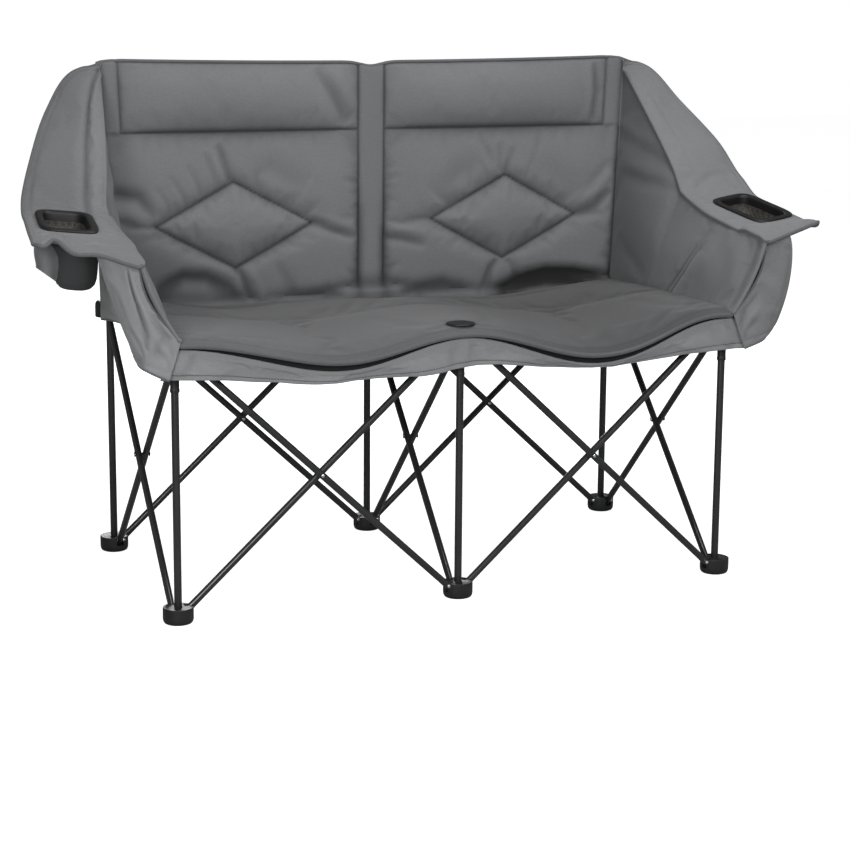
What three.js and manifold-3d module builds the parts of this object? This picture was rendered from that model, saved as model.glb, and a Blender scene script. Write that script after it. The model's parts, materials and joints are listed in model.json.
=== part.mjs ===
// Folding camping loveseat for two: six telescoping or sliding posts joined by seven
// scissor crosses of round steel tube, with a quilted seat, back and arms.
// Millimetres, +Z up, the front towards -Y. The origin is on the floor under the middle
// of the object.

import * as THREE from 'three';
import { mergeVertices } from 'three/addons/utils/BufferGeometryUtils.js';
import Module from 'manifold-3d';

const wasm = await Module();
wasm.setup();

// Frame grid
const bayWidth = 500; // post to post across one seat
const bayDepth = 500; // front posts to back posts
const pivotInset = 21.5; // post axis to the pivot of a brace
const footPivotHeight = 23.4; // floor to the lower pivots, and upper pivot to hub top
const hubPivotHeight = 450; // floor to the upper pivots
const hubTop = hubPivotHeight + footPivotHeight;
const backPostRise = 411.6; // posts above the upper hubs
const backPostTop = hubTop + backPostRise;
const frameShift = 12; // the posts stand this far back of the middle of the object

// Clearances
const fitGap = 0.3; // between pieces that touch
const hangGap = 0.8; // wing to the cloth that hangs from it
const braceGap = 0.8; // between the two braces of a cross
const slotClearance = 0.5; // each side of a brace in its slot
const pinPlay = 0.1; // between a pin that turns and the flats of its hole
const cutOverrun = 5; // how far a cutting solid passes a face

// Posts and tubes
const postDiameter = 13;
const postWall = 1;
const legSeat = 2; // legs above the upper pivots
const legTop = hubPivotHeight + legSeat;
const guideDiameter = 10;
const guideWall = 1;
const guideLength = 238.4;
const guideBottom = hubTop - guideLength;
const braceDiameter = 12;
const braceWall = 1;
const braceEnd = 7; // brace beyond its pivot
const armTubeDiameter = 16;
const armTubeWall = 1.2;
const armTubeLength = 158;
const armTubeOffset = 19; // post axis to the foot of the arm tube
const armTubeSeat = 6; // foot of the arm tube above the upper pivots
const armLeanAngle = THREE.MathUtils.degToRad(20.8); // outward
const armForwardAngle = THREE.MathUtils.degToRad(4.6);

// Plastic feet and hubs
const hubDiameter = 52;
const hubLip = 6.6; // plastic beyond the pivots on the open side
const hubFloor = 12; // solid end of a hub, under or over its slots
const hubBevel = 4;
const slotInnerRadius = 11;
const socketFloor = 4;
const legStop = 5; // end of a leg's bore above the pivots
const skirtDiameter = 16;
const skirtLength = 51;
const bossDiameter = 23;
const bossLength = 26;
const bossDepth = 4; // boss below the foot of the arm tube

// Rivets
const pinDiameter = 5;
const pinSeat = 3; // pin in the inner cheek of a slot
const pinTail = 1.7; // pin in the outer cheek of a slot
const rivetHeadDiameter = 10;
const rivetHeadHeight = 2;

// Disc that clamps the seat to the middle front hub
const discDiameter = 50;
const discThickness = 3.5;
const discCrown = 1.2;
const stemDiameter = 7;
const stemLength = 22;

// Seat
const seatRise = 7.6; // seat top over the hubs
const seatHeight = hubTop + seatRise;
const seatSideGap = 0.8; // seat to the side panels
const seatSag = 49; // dip of the front edge between two posts
const seatRearSagShare = 0.25;
const seatFrontReach = 37; // front edge ahead of the front posts
const seatFront = -bayDepth / 2 - seatFrontReach;
const seatRearInset = 37; // rear edge ahead of the back posts
const seatRear = bayDepth / 2 - seatRearInset;
const seatSplit = -22.5; // fold line between the two leaves
const seatThickness = 18;
const seatEdgeThickness = 8;
const seatCrown = 9;
const seatLipDrop = 8;
const seatLipWidth = 34;
const seatEdgeWidth = 60;
const seatCornerRise = 4;

// Back panel
const backDrop = 6; // lower edge below the seat's top
const backBottom = seatHeight - backDrop;
const backHeight = 425;
const backTop = backBottom + backHeight;
const backCornerRise = 7;
const centreStripHalf = 25;
const sideStripWidth = 32;
const headRollHeight = 121;
const headSeamHeight = backTop - headRollHeight;
const diamondOffset = 20; // out of the middle of its half
const diamondDrop = 172; // middle of a diamond below the head seam
const diamondMiddleZ = headSeamHeight - diamondDrop;
const diamondHalfWidth = 148;
const diamondHalfHeight = 80;
const backSeamThickness = 9;
const backStripThickness = 13;
const backPanelCrown = 17;
const headRollCrown = 21;
const diamondCrown = 7;
const diamondSeamShare = 0.12;
const diamondSeamDepthShare = 0.6;
const pocketDiameter = 22;
const pocketHeight = 135;
const pocketCap = 8;

// Arms
const armRise = 131; // front inner corner of the arm rest over the seat
const armHeight = seatHeight + armRise;
const wingRise = 295; // back corner of the wing over that
const wingTop = armHeight + wingRise;
const wingReach = 216; // arm tip beyond the post line
const wingThickness = 13;
const wingEdgeThickness = 6;
const sideInset = 3; // inner face of the side panel at the seat, from the post line
const sideInner = bayWidth - sideInset;
const sideRearLean = 17;
const sideThickness = 13;
const sideEdgeThickness = 8;
const sideBulge = 7;
const sideBottom = backBottom;
const sideFrontRise = 9;
const coverThickness = 3;
const coverHang = 61; // lower edge of the front band below the seat
const coverBottom = seatHeight - coverHang;
const coverBulge = 45;
const coverDrop = 5; // wing's underside to the middle of the cover's upper edge
const bandTuck = 37; // inner edge of the front band, drawn in to the seat's corner

// Front valance
const valanceThickness = 3;
const valanceInset = 6.5; // behind the seat's front edge
const valanceFront = seatFront + valanceInset;
const valanceFlare = 24; // lower corners beyond the seat
const valanceBottom = coverBottom;
const valanceDip = 23;
const valanceWave = 4;

// Cup holders
const cupReach = 140; // out from the post line
const cupMiddleX = bayWidth + cupReach;
const cupDepthShare = -0.34; // of half the bay's depth, towards the back
const cupMiddleY = bayDepth / 2 * cupDepthShare;
const cupRise = 40.5; // over the arm's front corner
const cupMiddleZ = armHeight + cupRise;
const cupSlopeBackShare = 0.115;
const cupSlopeOutShare = 0.04;
const ringHalfLength = 72;
const ringHalfWidth = 45;
const ringSkewAcross = THREE.MathUtils.degToRad(17);
const ringSkewAlong = THREE.MathUtils.degToRad(6);
const ringBand = 7;
const ringThickness = 4;
const ringPadWidth = 14; // flat cloth round the ring
const ringFadeWidth = 22; // from there to the wing's own curve
const collarDepth = 17;
const collarWall = 2.5;
const pouchDepth = 88;
const pouchNeck = 30;
const pouchRadius = 33;
const pouchWall = 2.5;
const pouchShiftY = -26;
const pouchShiftX = -7;

// Facets
const postSides = 10;
const braceSides = 8;
const pinSides = 6;
const hubSides = 18;
const ringSides = 24;
const cupSides = 16;

const stepShare = 1 / 64; // for the slope of a surface

const TAU = Math.PI * 2;
const half = (size) => size / 2;
const mix = THREE.MathUtils.lerp;
const up = new THREE.Vector3(0, 0, 1);
const seatHalfWidth = sideInner - seatSideGap;
const backRear = half(bayDepth) - half(pocketDiameter) + postWall;
const backCornerFront = backRear - backStripThickness;
const sideStripInner = sideInner - sideStripWidth;
const diamondMiddleX = half(centreStripHalf + sideStripInner) + diamondOffset;

// Materials
const steelBlack = new THREE.MeshStandardMaterial({ color: 0x26272a, roughness: 0.35, metalness: 0.6 });
const rivetSteel = new THREE.MeshStandardMaterial({ color: 0xc9cbce, roughness: 0.25, metalness: 1 });
const hubPlastic = new THREE.MeshStandardMaterial({ color: 0x141416, roughness: 0.5, metalness: 0 });
const greyCloth = new THREE.MeshStandardMaterial({ color: 0x75777a, roughness: 0.9, metalness: 0 });
const darkCloth = new THREE.MeshStandardMaterial({ color: 0x35363a, roughness: 0.9, metalness: 0 });
const ringPlastic = new THREE.MeshStandardMaterial({ color: 0x101113, roughness: 0.45, metalness: 0 });

// Solids from and to manifold-3d
function toSolid(geometry) {
  const bare = geometry.clone();
  bare.deleteAttribute('normal');
  bare.deleteAttribute('uv');
  const merged = mergeVertices(bare);
  return new wasm.Manifold(new wasm.Mesh({
    numProp: 3,
    vertProperties: merged.attributes.position.array,
    triVerts: new Uint32Array(merged.index.array),
  }));
}

function toGeometry(solid) {
  const mesh = solid.getMesh();
  const geometry = new THREE.BufferGeometry();
  geometry.setAttribute('position', new THREE.BufferAttribute(mesh.vertProperties, 3));
  geometry.setIndex(new THREE.BufferAttribute(mesh.triVerts, 1));
  return geometry;
}

// A rod between two points; its facets start at a corner
function rod(from, to, diameter, sides) {
  const axis = new THREE.Vector3().subVectors(to, from);
  const geometry = new THREE.CylinderGeometry(half(diameter), half(diameter), axis.length(), sides);
  geometry.applyQuaternion(new THREE.Quaternion().setFromUnitVectors(
    new THREE.Vector3(0, 1, 0), axis.clone().normalize()));
  const middle = new THREE.Vector3().addVectors(from, to).multiplyScalar(half(1));
  return geometry.translate(middle.x, middle.y, middle.z);
}

function upright(x, y, bottom, top, diameter, sides) {
  return rod(new THREE.Vector3(x, y, bottom), new THREE.Vector3(x, y, top), diameter, sides);
}

// A tube open at both ends
function tube(from, to, diameter, wall, sides) {
  const along = new THREE.Vector3().subVectors(to, from).setLength(cutOverrun);
  const bore = rod(from.clone().sub(along), to.clone().add(along), diameter - wall * 2, sides);
  return toSolid(rod(from, to, diameter, sides)).subtract(toSolid(bore));
}

// A closed solid between two surfaces on one grid; the diagonal of each cell follows a seam
function slab(us, vs, front, back) {
  const rows = us.length;
  const columns = vs.length;
  const sheets = [front, back].map((surface) => us.map((u) => vs.map((v) => surface(u, v))));
  const thickness = (i, j) => sheets[0][i][j].distanceTo(sheets[1][i][j]);
  const at = (sheet, i, j) => sheet * rows * columns + i * columns + j;
  const triangles = [];
  const quad = (a, b, c, d) => triangles.push(a, b, c, a, c, d);
  for (let i = 0; i < rows - 1; i += 1) {
    for (let j = 0; j < columns - 1; j += 1) {
      const falling = Math.abs(thickness(i, j) - thickness(i + 1, j + 1));
      const rising = Math.abs(thickness(i + 1, j) - thickness(i, j + 1));
      for (const sheet of [0, 1]) {
        const corners = [at(sheet, i, j), at(sheet, i + 1, j), at(sheet, i + 1, j + 1), at(sheet, i, j + 1)];
        if (sheet === 1) corners.reverse();
        if ((rising < falling) !== (sheet === 1)) corners.push(corners.shift());
        quad(...corners);
      }
    }
  }
  for (let i = 0; i < rows - 1; i += 1) {
    quad(at(1, i, 0), at(1, i + 1, 0), at(0, i + 1, 0), at(0, i, 0));
    quad(at(0, i, columns - 1), at(0, i + 1, columns - 1), at(1, i + 1, columns - 1), at(1, i, columns - 1));
  }
  for (let j = 0; j < columns - 1; j += 1) {
    quad(at(0, 0, j), at(0, 0, j + 1), at(1, 0, j + 1), at(1, 0, j));
    quad(at(1, rows - 1, j), at(1, rows - 1, j + 1), at(0, rows - 1, j + 1), at(0, rows - 1, j));
  }
  return closedGeometry(sheets.flat(2), triangles);
}

// Points and triangles to a geometry whose faces point out
function closedGeometry(points, triangles) {
  let volume = 0;
  for (let k = 0; k < triangles.length; k += 3) {
    const [a, b, c] = triangles.slice(k, k + 3).map((n) => points[n]);
    volume += a.dot(new THREE.Vector3().crossVectors(b, c));
  }
  if (volume < 0) triangles.reverse();
  const geometry = new THREE.BufferGeometry().setFromPoints(points);
  geometry.setIndex(triangles);
  return geometry;
}

// A point at a distance from a surface, on the side that u and v turn about
function offsetPoint(surface, u, v, distance) {
  const alongU = new THREE.Vector3().subVectors(
    surface(Math.min(1, u + stepShare), v), surface(Math.max(0, u - stepShare), v));
  const alongV = new THREE.Vector3().subVectors(
    surface(u, Math.min(1, v + stepShare)), surface(u, Math.max(0, v - stepShare)));
  return surface(u, v).addScaledVector(alongU.cross(alongV).normalize(), distance);
}

// A slab of cloth on both sides of a middle surface
function quilt(us, vs, middle, thickness) {
  const face = (sign) => (u, v) => offsetPoint(middle, u, v, sign * half(thickness(u, v)));
  return slab(us, vs, face(1), face(-1));
}

const shares = (count) => Array.from({ length: count + 1 }, (_, k) => k / count);
const arch = (share) => Math.sin(Math.PI * THREE.MathUtils.clamp(share, 0, 1));

// Posts stand on a grid of two rows and three columns
const columnX = { left: -bayWidth, middle: 0, right: bayWidth };
const rowY = { front: -half(bayDepth), back: half(bayDepth) };
const postAt = (row, column) => new THREE.Vector3(columnX[column], rowY[row], 0);
const places = Object.keys(rowY).flatMap((row) => Object.keys(columnX).map((column) => ({ row, column })));

// Each scissor cross stands between two posts; its first brace rises from the first post
const crosses = [
  { name: 'middle', from: ['back', 'middle'], to: ['front', 'middle'] },
  { name: 'back_left', from: ['back', 'middle'], to: ['back', 'left'] },
  { name: 'back_right', from: ['back', 'middle'], to: ['back', 'right'] },
  { name: 'front_left', from: ['front', 'middle'], to: ['front', 'left'] },
  { name: 'front_right', from: ['front', 'middle'], to: ['front', 'right'] },
  { name: 'side_left', from: ['back', 'left'], to: ['front', 'left'] },
  { name: 'side_right', from: ['back', 'right'], to: ['front', 'right'] },
].map((cross) => {
  const start = postAt(...cross.from);
  const end = postAt(...cross.to);
  const along = new THREE.Vector3().subVectors(end, start).normalize();
  const across = new THREE.Vector3().crossVectors(up, along);
  return { ...cross, start, end, along, across };
});
const braceOffset = half(braceDiameter + braceGap);
const hubHeight = footPivotHeight + hubLip;
const hubBottom = hubPivotHeight - hubLip;
const legBoreDiameter = postDiameter + fitGap * 2;
const guideBoreDiameter = guideDiameter + fitGap * 2;

// The slots of the hub or foot of one post: which way each runs and on which side it lies
function slotsAt(row, column, upper) {
  const slots = [];
  for (const cross of crosses) {
    if (cross.from[0] === row && cross.from[1] === column) {
      slots.push({ along: cross.along, across: cross.across, offset: upper ? -braceOffset : braceOffset });
    }
    if (cross.to[0] === row && cross.to[1] === column) {
      const along = cross.along.clone().negate();
      slots.push({ along, across: cross.across, offset: upper ? braceOffset : -braceOffset });
    }
  }
  return slots;
}

// A drum of plastic with a slot and a pin for each brace
function slottedDrum(row, column, upper) {
  const post = postAt(row, column);
  const bottom = upper ? hubBottom : 0;
  const radius = half(hubDiameter);
  const profile = [[0, 0], [radius - hubBevel, 0], [radius, hubBevel], [radius, hubHeight], [0, hubHeight]];
  const outline = profile.map(([r, h]) => new THREE.Vector2(r, upper ? hubHeight - h : h));
  if (upper) outline.reverse();
  const lathe = new THREE.LatheGeometry(outline, hubSides).rotateX(Math.PI / 2);
  let drum = toSolid(lathe.translate(post.x, post.y, bottom));
  const pivotZ = upper ? hubPivotHeight : footPivotHeight;
  const width = braceDiameter + slotClearance * 2;
  const slotLow = upper ? bottom - cutOverrun : bottom + hubFloor;
  const slotHigh = upper ? bottom + hubHeight - hubFloor : bottom + hubHeight + cutOverrun;
  const length = radius + cutOverrun - slotInnerRadius;
  const slots = slotsAt(row, column, upper);
  for (const slot of slots) {
    const turned = Math.abs(slot.along.y) > Math.abs(slot.along.x);
    const box = new THREE.BoxGeometry(turned ? width : length, turned ? length : width, slotHigh - slotLow);
    const place = post.clone().addScaledVector(slot.along, slotInnerRadius + half(length));
    place.addScaledVector(slot.across, slot.offset);
    drum = drum.subtract(toSolid(box.translate(place.x, place.y, half(slotLow + slotHigh))));
  }
  for (const slot of slots) {
    const pivot = post.clone().addScaledVector(slot.along, pivotInset).setZ(pivotZ);
    const outward = Math.sign(slot.offset);
    const inner = slot.offset - outward * (half(width) + pinSeat);
    const outer = slot.offset + outward * (half(width) + pinTail);
    const from = pivot.clone().addScaledVector(slot.across, inner);
    const to = pivot.clone().addScaledVector(slot.across, outer);
    drum = drum.add(toSolid(rod(from, to, pinDiameter, pinSides)));
  }
  return drum;
}

function foot(row, column) {
  const post = postAt(row, column);
  const top = hubHeight + cutOverrun;
  const socket = toSolid(upright(post.x, post.y, socketFloor, top, legBoreDiameter, postSides));
  return slottedDrum(row, column, false).subtract(socket);
}

// The foot and the direction of an arm tube
function armTubeLine(side) {
  const from = postAt('front', side > 0 ? 'right' : 'left');
  from.x += side * armTubeOffset;
  from.z = hubPivotHeight + armTubeSeat;
  const direction = new THREE.Vector3(side * Math.tan(armLeanAngle), -Math.tan(armForwardAngle), 1).normalize();
  return { from, direction };
}

function slidingHub(row, column) {
  const post = postAt(row, column);
  const low = hubBottom - cutOverrun;
  const bore = upright(post.x, post.y, low, hubTop + cutOverrun, legBoreDiameter, postSides);
  return slottedDrum(row, column, true).subtract(toSolid(bore));
}

function frontHub(row, column) {
  const post = postAt(row, column);
  let hub = slottedDrum(row, column, true);
  const skirtTop = hubBottom + cutOverrun;
  hub = hub.add(toSolid(upright(post.x, post.y, hubBottom - skirtLength, skirtTop, skirtDiameter, postSides)));
  if (column !== 'middle') {
    const { from, direction } = armTubeLine(Math.sign(post.x));
    const bossStart = from.clone().addScaledVector(direction, -bossDepth);
    const bossEnd = from.clone().addScaledVector(direction, bossLength - bossDepth);
    hub = hub.add(toSolid(rod(bossStart, bossEnd, bossDiameter, ringSides / 2)));
    const socketStart = from.clone().addScaledVector(direction, -fitGap);
    const socketEnd = bossEnd.clone().addScaledVector(direction, cutOverrun);
    const socketDiameter = armTubeDiameter + fitGap * 2;
    hub = hub.subtract(toSolid(rod(socketStart, socketEnd, socketDiameter, postSides)));
  }
  const legBoreLow = hubBottom - skirtLength - cutOverrun;
  const legBoreTop = hubPivotHeight + legStop;
  hub = hub.subtract(toSolid(upright(post.x, post.y, legBoreLow, legBoreTop, legBoreDiameter, postSides)));
  const guideBoreTop = hubTop + cutOverrun;
  return hub.subtract(toSolid(upright(post.x, post.y, legBoreTop - fitGap, guideBoreTop, guideBoreDiameter, postSides)));
}

// One brace lies along its own Z axis, with its pin holes along its own X axis
function brace(length) {
  const end = half(length) + braceEnd;
  const low = new THREE.Vector3(0, 0, -end);
  let solid = tube(low, new THREE.Vector3(0, 0, end), braceDiameter, braceWall, braceSides);
  const reach = half(braceDiameter) + cutOverrun;
  const holeDiameter = (pinDiameter + pinPlay * 2) / Math.cos(Math.PI / pinSides);
  for (const share of [-1, 0, 1]) {
    const z = share * half(length);
    const hole = rod(new THREE.Vector3(-reach, 0, z), new THREE.Vector3(reach, 0, z), holeDiameter, pinSides);
    solid = solid.subtract(toSolid(hole));
  }
  return toGeometry(solid);
}

function addBrace(group, cross, first) {
  const inset = cross.along.clone().multiplyScalar(pivotInset);
  const near = cross.start.clone().add(inset);
  const far = cross.end.clone().sub(inset);
  const foot0 = (first ? near : far).clone().setZ(footPivotHeight);
  const head = (first ? far : near).clone().setZ(hubPivotHeight);
  const lean = new THREE.Vector3().subVectors(head, foot0);
  const mesh = new THREE.Mesh(brace(lean.length()), steelBlack);
  mesh.name = `brace_${cross.name}_${first ? 'a' : 'b'}`;
  const axis = lean.clone().normalize();
  const side = new THREE.Vector3().crossVectors(axis, cross.across);
  mesh.quaternion.setFromRotationMatrix(new THREE.Matrix4().makeBasis(cross.across, side, axis));
  mesh.position.addVectors(foot0, head).multiplyScalar(half(1));
  mesh.position.addScaledVector(cross.across, first ? braceOffset : -braceOffset);
  group.add(mesh);
}

function crossRivet(cross) {
  const middle = cross.start.clone().add(cross.end).multiplyScalar(half(1));
  middle.z = half(footPivotHeight + hubPivotHeight);
  const seat = braceOffset + half(braceDiameter) + fitGap;
  const end = seat + rivetHeadHeight;
  const at = (distance) => middle.clone().addScaledVector(cross.across, distance);
  return toSolid(rod(at(-end), at(end), pinDiameter, pinSides))
    .add(toSolid(rod(at(seat), at(end), rivetHeadDiameter, braceSides)))
    .add(toSolid(rod(at(-end), at(-seat), rivetHeadDiameter, braceSides)));
}

// Height of the seat's top
function seatTop(x, y) {
  const across = Math.abs(x) / bayWidth;
  const sag = arch(across) ** 2;
  const depthShare = (y - seatFront) / (seatRear - seatFront);
  const sagHere = seatSag * mix(1, seatRearSagShare, depthShare) * sag;
  const lipShare = THREE.MathUtils.clamp((y - seatFront) / seatLipWidth, 0, 1);
  const lip = seatLipDrop * (1 - lipShare) ** 2;
  const corner = seatCornerRise * across ** 2;
  const crown = seatCrown * sag * arch(depthShare);
  return seatHeight - sagHere - lip + corner + crown;
}

function seatDepth(x, y) {
  const nearest = Math.min(y - seatFront, seatRear - y, seatHalfWidth - Math.abs(x));
  return mix(seatEdgeThickness, seatThickness, THREE.MathUtils.smoothstep(nearest, 0, seatEdgeWidth));
}

const seatColumns = shares(22).map((share) => seatHalfWidth * (share * 2 - 1));
const seatSurface = (drop) => (x, y) => new THREE.Vector3(x, y, seatTop(x, y) - (drop ? seatDepth(x, y) : 0));

// One leaf of the seat, cut clear of the hubs and of the stem of the disc
function seatLeaf(rows) {
  let leaf = toSolid(slab(seatColumns, rows, seatSurface(false), seatSurface(true)));
  for (const column of Object.keys(columnX)) {
    const post = postAt('front', column);
    const clear = hubDiameter + fitGap * 2;
    leaf = leaf.subtract(toSolid(upright(post.x, post.y, hubBottom, hubTop + fitGap, clear, hubSides)));
  }
  const stem = postAt('front', 'middle');
  const hole = stemDiameter + fitGap * 4;
  return leaf.subtract(toSolid(upright(stem.x, stem.y, hubBottom, seatHeight + cutOverrun, hole, postSides)));
}

const seatFrontRows = [
  seatFront, seatFront + half(half(seatLipWidth)), seatFront + seatLipWidth,
  seatFront + seatEdgeWidth, ...shares(4).slice(1).map((share) => mix(seatFront + seatEdgeWidth, seatSplit - fitGap, share)),
];
const seatRearRows = [
  ...shares(4).slice(0, -1).map((share) => mix(seatSplit + fitGap, seatRear - seatEdgeWidth, share)),
  seatRear - seatEdgeWidth, seatRear - half(seatEdgeWidth), seatRear,
];

// Line that the side panels follow up the back corners
const sideLine = (z) => sideInner + sideRearLean * (z - sideBottom) / (wingTop - sideBottom);

// Thickness of the back panel, deep in its padded fields and thin at its seams
function backDepth(x, z, top) {
  const across = Math.abs(x);
  if (across < centreStripHalf || across > sideStripInner) return backStripThickness;
  const widthShare = (across - centreStripHalf) / (sideStripInner - centreStripHalf);
  const wide = Math.sqrt(arch(widthShare));
  if (z >= headSeamHeight) {
    const share = (z - headSeamHeight) / (top - headSeamHeight);
    return backSeamThickness + headRollCrown * wide * Math.sqrt(arch(share));
  }
  const share = (z - backBottom) / (headSeamHeight - backBottom);
  const fromDiamond = Math.abs(across - diamondMiddleX) / diamondHalfWidth
    + Math.abs(z - diamondMiddleZ) / diamondHalfHeight - 1;
  const seam = Math.exp(-((fromDiamond / diamondSeamShare) ** 2));
  const inside = fromDiamond < 0 ? -fromDiamond * diamondCrown : 0;
  const field = backPanelCrown * wide * Math.sqrt(arch(share));
  return backSeamThickness + (field + inside) * (1 - seam * diamondSeamDepthShare);
}

function backPanel() {
  const steps = (from, to, count) => shares(count).map((share) => mix(from, to, share));
  const diamondIn = diamondMiddleX - diamondHalfWidth;
  const diamondOut = diamondMiddleX + diamondHalfWidth;
  const halfColumns = [
    ...steps(centreStripHalf, diamondIn, 2).slice(0, -1),
    ...steps(diamondIn, diamondOut, 6),
    half(diamondOut + sideStripInner), sideStripInner, sideInner,
  ];
  const columns = [...halfColumns.map((x) => -x).reverse(), ...halfColumns];
  const rows = [
    backBottom, half(backBottom + diamondMiddleZ - diamondHalfHeight),
    ...steps(diamondMiddleZ - diamondHalfHeight, diamondMiddleZ + diamondHalfHeight, 6),
    ...steps(diamondMiddleZ + diamondHalfHeight, headSeamHeight, 3).slice(1),
    ...steps(headSeamHeight, backTop, 4).slice(1),
  ];
  const shape = (x, z) => {
    const lift = Math.max(0, (z - headSeamHeight) / (backTop - headSeamHeight));
    const top = z + lift * backCornerRise * (Math.abs(x) / bayWidth) ** 2;
    const edge = sideLine(top);
    return { x: x * edge / sideInner, z: top };
  };
  const front = (x, z) => {
    const place = shape(x, z);
    return new THREE.Vector3(place.x, backRear - backDepth(x, z, backTop), place.z);
  };
  const back = (x, z) => {
    const place = shape(x, z);
    return new THREE.Vector3(place.x, backRear, place.z);
  };
  let panel = toSolid(slab(columns, rows, front, back));
  for (const column of Object.keys(columnX)) {
    const post = postAt('back', column);
    const pocketTop = backPostTop + pocketCap;
    panel = panel.add(toSolid(upright(post.x, post.y, pocketTop - pocketHeight, pocketTop, pocketDiameter, postSides)));
    const boreTop = backPostTop + fitGap;
    panel = panel.subtract(toSolid(
      upright(post.x, post.y, pocketTop - pocketHeight - cutOverrun, boreTop, legBoreDiameter, postSides)));
  }
  return panel;
}

// Stations down the arm from the back corner to the front: the seam that joins wing and side
// panel, and the free edge of the wing. Each is a share of half the bay's depth towards the
// back, of the wing's reach beyond the posts, and of the rise from arm to wing top.
const seamShares = [
  [0.912, 0.065, 0.949], [0.74, 0.093, 0.807], [0.48, 0.139, 0.59], [0.26, 0.19, 0.383],
  [0.1, 0.231, 0.207], [-0.12, 0.231, 0.129], [-0.34, 0.231, 0.081], [-0.82, 0.245, 0.041],
  [-1.188, 0.259, 0],
];
const edgeShares = [
  [0.888, 0.065, 1], [0.876, 0.315, 0.936], [0.74, 0.532, 0.736], [0.408, 0.741, 0.475],
  [0.204, 0.861, 0.258], [-0.172, 0.917, 0.153], [-0.452, 0.954, 0.119], [-0.66, 0.977, 0.102],
  [-0.84, 1, 0.088],
];
const armCurve = (table) => new THREE.CatmullRomCurve3(table.map(([depthShare, reachShare, riseShare]) =>
  new THREE.Vector3(
    bayWidth + wingReach * reachShare,
    half(bayDepth) * depthShare,
    mix(armHeight, wingTop, riseShare),
  )));
const seamCurve = armCurve(seamShares);
const edgeCurve = armCurve(edgeShares);
const mirrored = (point, side) => new THREE.Vector3(point.x * side, point.y, point.z);

// Frame of a cup holder: across, towards the back, and up from the wing
function cupFrame(side) {
  const across = new THREE.Vector3(side, 0, cupSlopeOutShare).normalize();
  const back = new THREE.Vector3(0, 1, cupSlopeBackShare).normalize();
  const lift = new THREE.Vector3().crossVectors(across, back).multiplyScalar(side).normalize();
  return { across, back, lift, middle: new THREE.Vector3(side * cupMiddleX, cupMiddleY, cupMiddleZ) };
}

// A point of the rounded, skewed outline of a cup holder, grown by an amount
function cupOutline(frame, angle, grow, height, roundShare, shift) {
  const squared = (value) => Math.sign(value) * Math.abs(value) ** mix(half(1), 1, roundShare);
  const width = mix(ringHalfWidth + grow, pouchRadius + grow, roundShare) * squared(Math.cos(angle));
  const length = mix(ringHalfLength + grow, pouchRadius + grow, roundShare) * squared(Math.sin(angle));
  const skewAcross = ringSkewAcross * (1 - roundShare);
  const skewAlong = ringSkewAlong * (1 - roundShare);
  const x = width * Math.cos(skewAcross) - length * Math.sin(skewAlong);
  const y = width * Math.sin(skewAcross) + length * Math.cos(skewAlong);
  return frame.middle.clone()
    .addScaledVector(frame.across, x + shift * pouchShiftX)
    .addScaledVector(frame.back, y + shift * pouchShiftY)
    .addScaledVector(frame.lift, height);
}

// A closed ring or cup through a path of sections; ends that close on the axis share a point
function cupSolid(frame, path, closed) {
  const points = [];
  const triangles = [];
  for (const section of path) {
    for (let k = 0; k < cupSides; k += 1) {
      const angle = TAU * (k + half(1)) / cupSides;
      points.push(section.centre ? cupCentre(frame, section) : cupOutline(
        frame, angle, section.grow, section.height, section.roundShare, section.shift));
    }
  }
  const sections = path.length;
  for (let s = 0; s < (closed ? sections : sections - 1); s += 1) {
    const next = (s + 1) % sections;
    for (let k = 0; k < cupSides; k += 1) {
      const after = (k + 1) % cupSides;
      const [a, b] = [s * cupSides + k, s * cupSides + after];
      const [c, d] = [next * cupSides + after, next * cupSides + k];
      if (!path[s].centre) triangles.push(a, b, c);
      if (!path[next].centre) triangles.push(a, c, d);
      else if (path[s].centre) triangles.push(a, c, d);
    }
  }
  return mergeVertices(closedGeometry(points, triangles));
}

const cupCentre = (frame, section) => frame.middle.clone()
  .addScaledVector(frame.across, section.shift * pouchShiftX)
  .addScaledVector(frame.back, section.shift * pouchShiftY)
  .addScaledVector(frame.lift, section.height);

const ringLift = half(wingThickness) + fitGap;
const collarBottom = ringLift - collarDepth;

function cupRing(side) {
  const level = (grow, height) => ({ grow, height, roundShare: 0, shift: 0 });
  return cupSolid(cupFrame(side), [
    level(0, ringLift), level(0, ringLift + ringThickness),
    level(-ringBand - collarWall, ringLift + ringThickness), level(-ringBand - collarWall, collarBottom),
    level(-ringBand, collarBottom), level(-ringBand, ringLift),
  ], true);
}

function cupPouch(side) {
  const top = collarBottom - fitGap;
  const neck = top - pouchNeck;
  const floor = top - pouchDepth;
  const level = (grow, height, roundShare, shift) => ({ grow, height, roundShare, shift });
  return cupSolid(cupFrame(side), [
    { centre: true, height: floor, shift: 1 },
    level(-pouchWall, floor, 1, 1), level(pouchWall, neck, 1, 1), level(-ringBand, top, 0, 0),
    level(-ringBand - pouchWall, top, 0, 0), level(0, neck, 1, 1),
    level(-pouchWall * 2, floor + pouchWall, 1, 1), { centre: true, height: floor + pouchWall, shift: 1 },
  ], false);
}

// The middle of the right wing's cloth, flat where the cup holder lies on it
function wingMiddle(u, v) {
  const point = seamCurve.getPoint(u).lerp(edgeCurve.getPoint(u), v);
  point.y = Math.min(point.y, backCornerFront - half(wingEdgeThickness) - fitGap);
  const frame = cupFrame(1);
  const away = point.clone().sub(frame.middle);
  const beyond = Math.max(
    Math.abs(away.dot(frame.across)) - ringHalfWidth,
    Math.abs(away.dot(frame.back)) - ringHalfLength,
  );
  const fade = 1 - THREE.MathUtils.smoothstep(beyond, ringPadWidth, ringPadWidth + ringFadeWidth);
  return point.addScaledVector(frame.lift, -away.dot(frame.lift) * fade);
}

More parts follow.
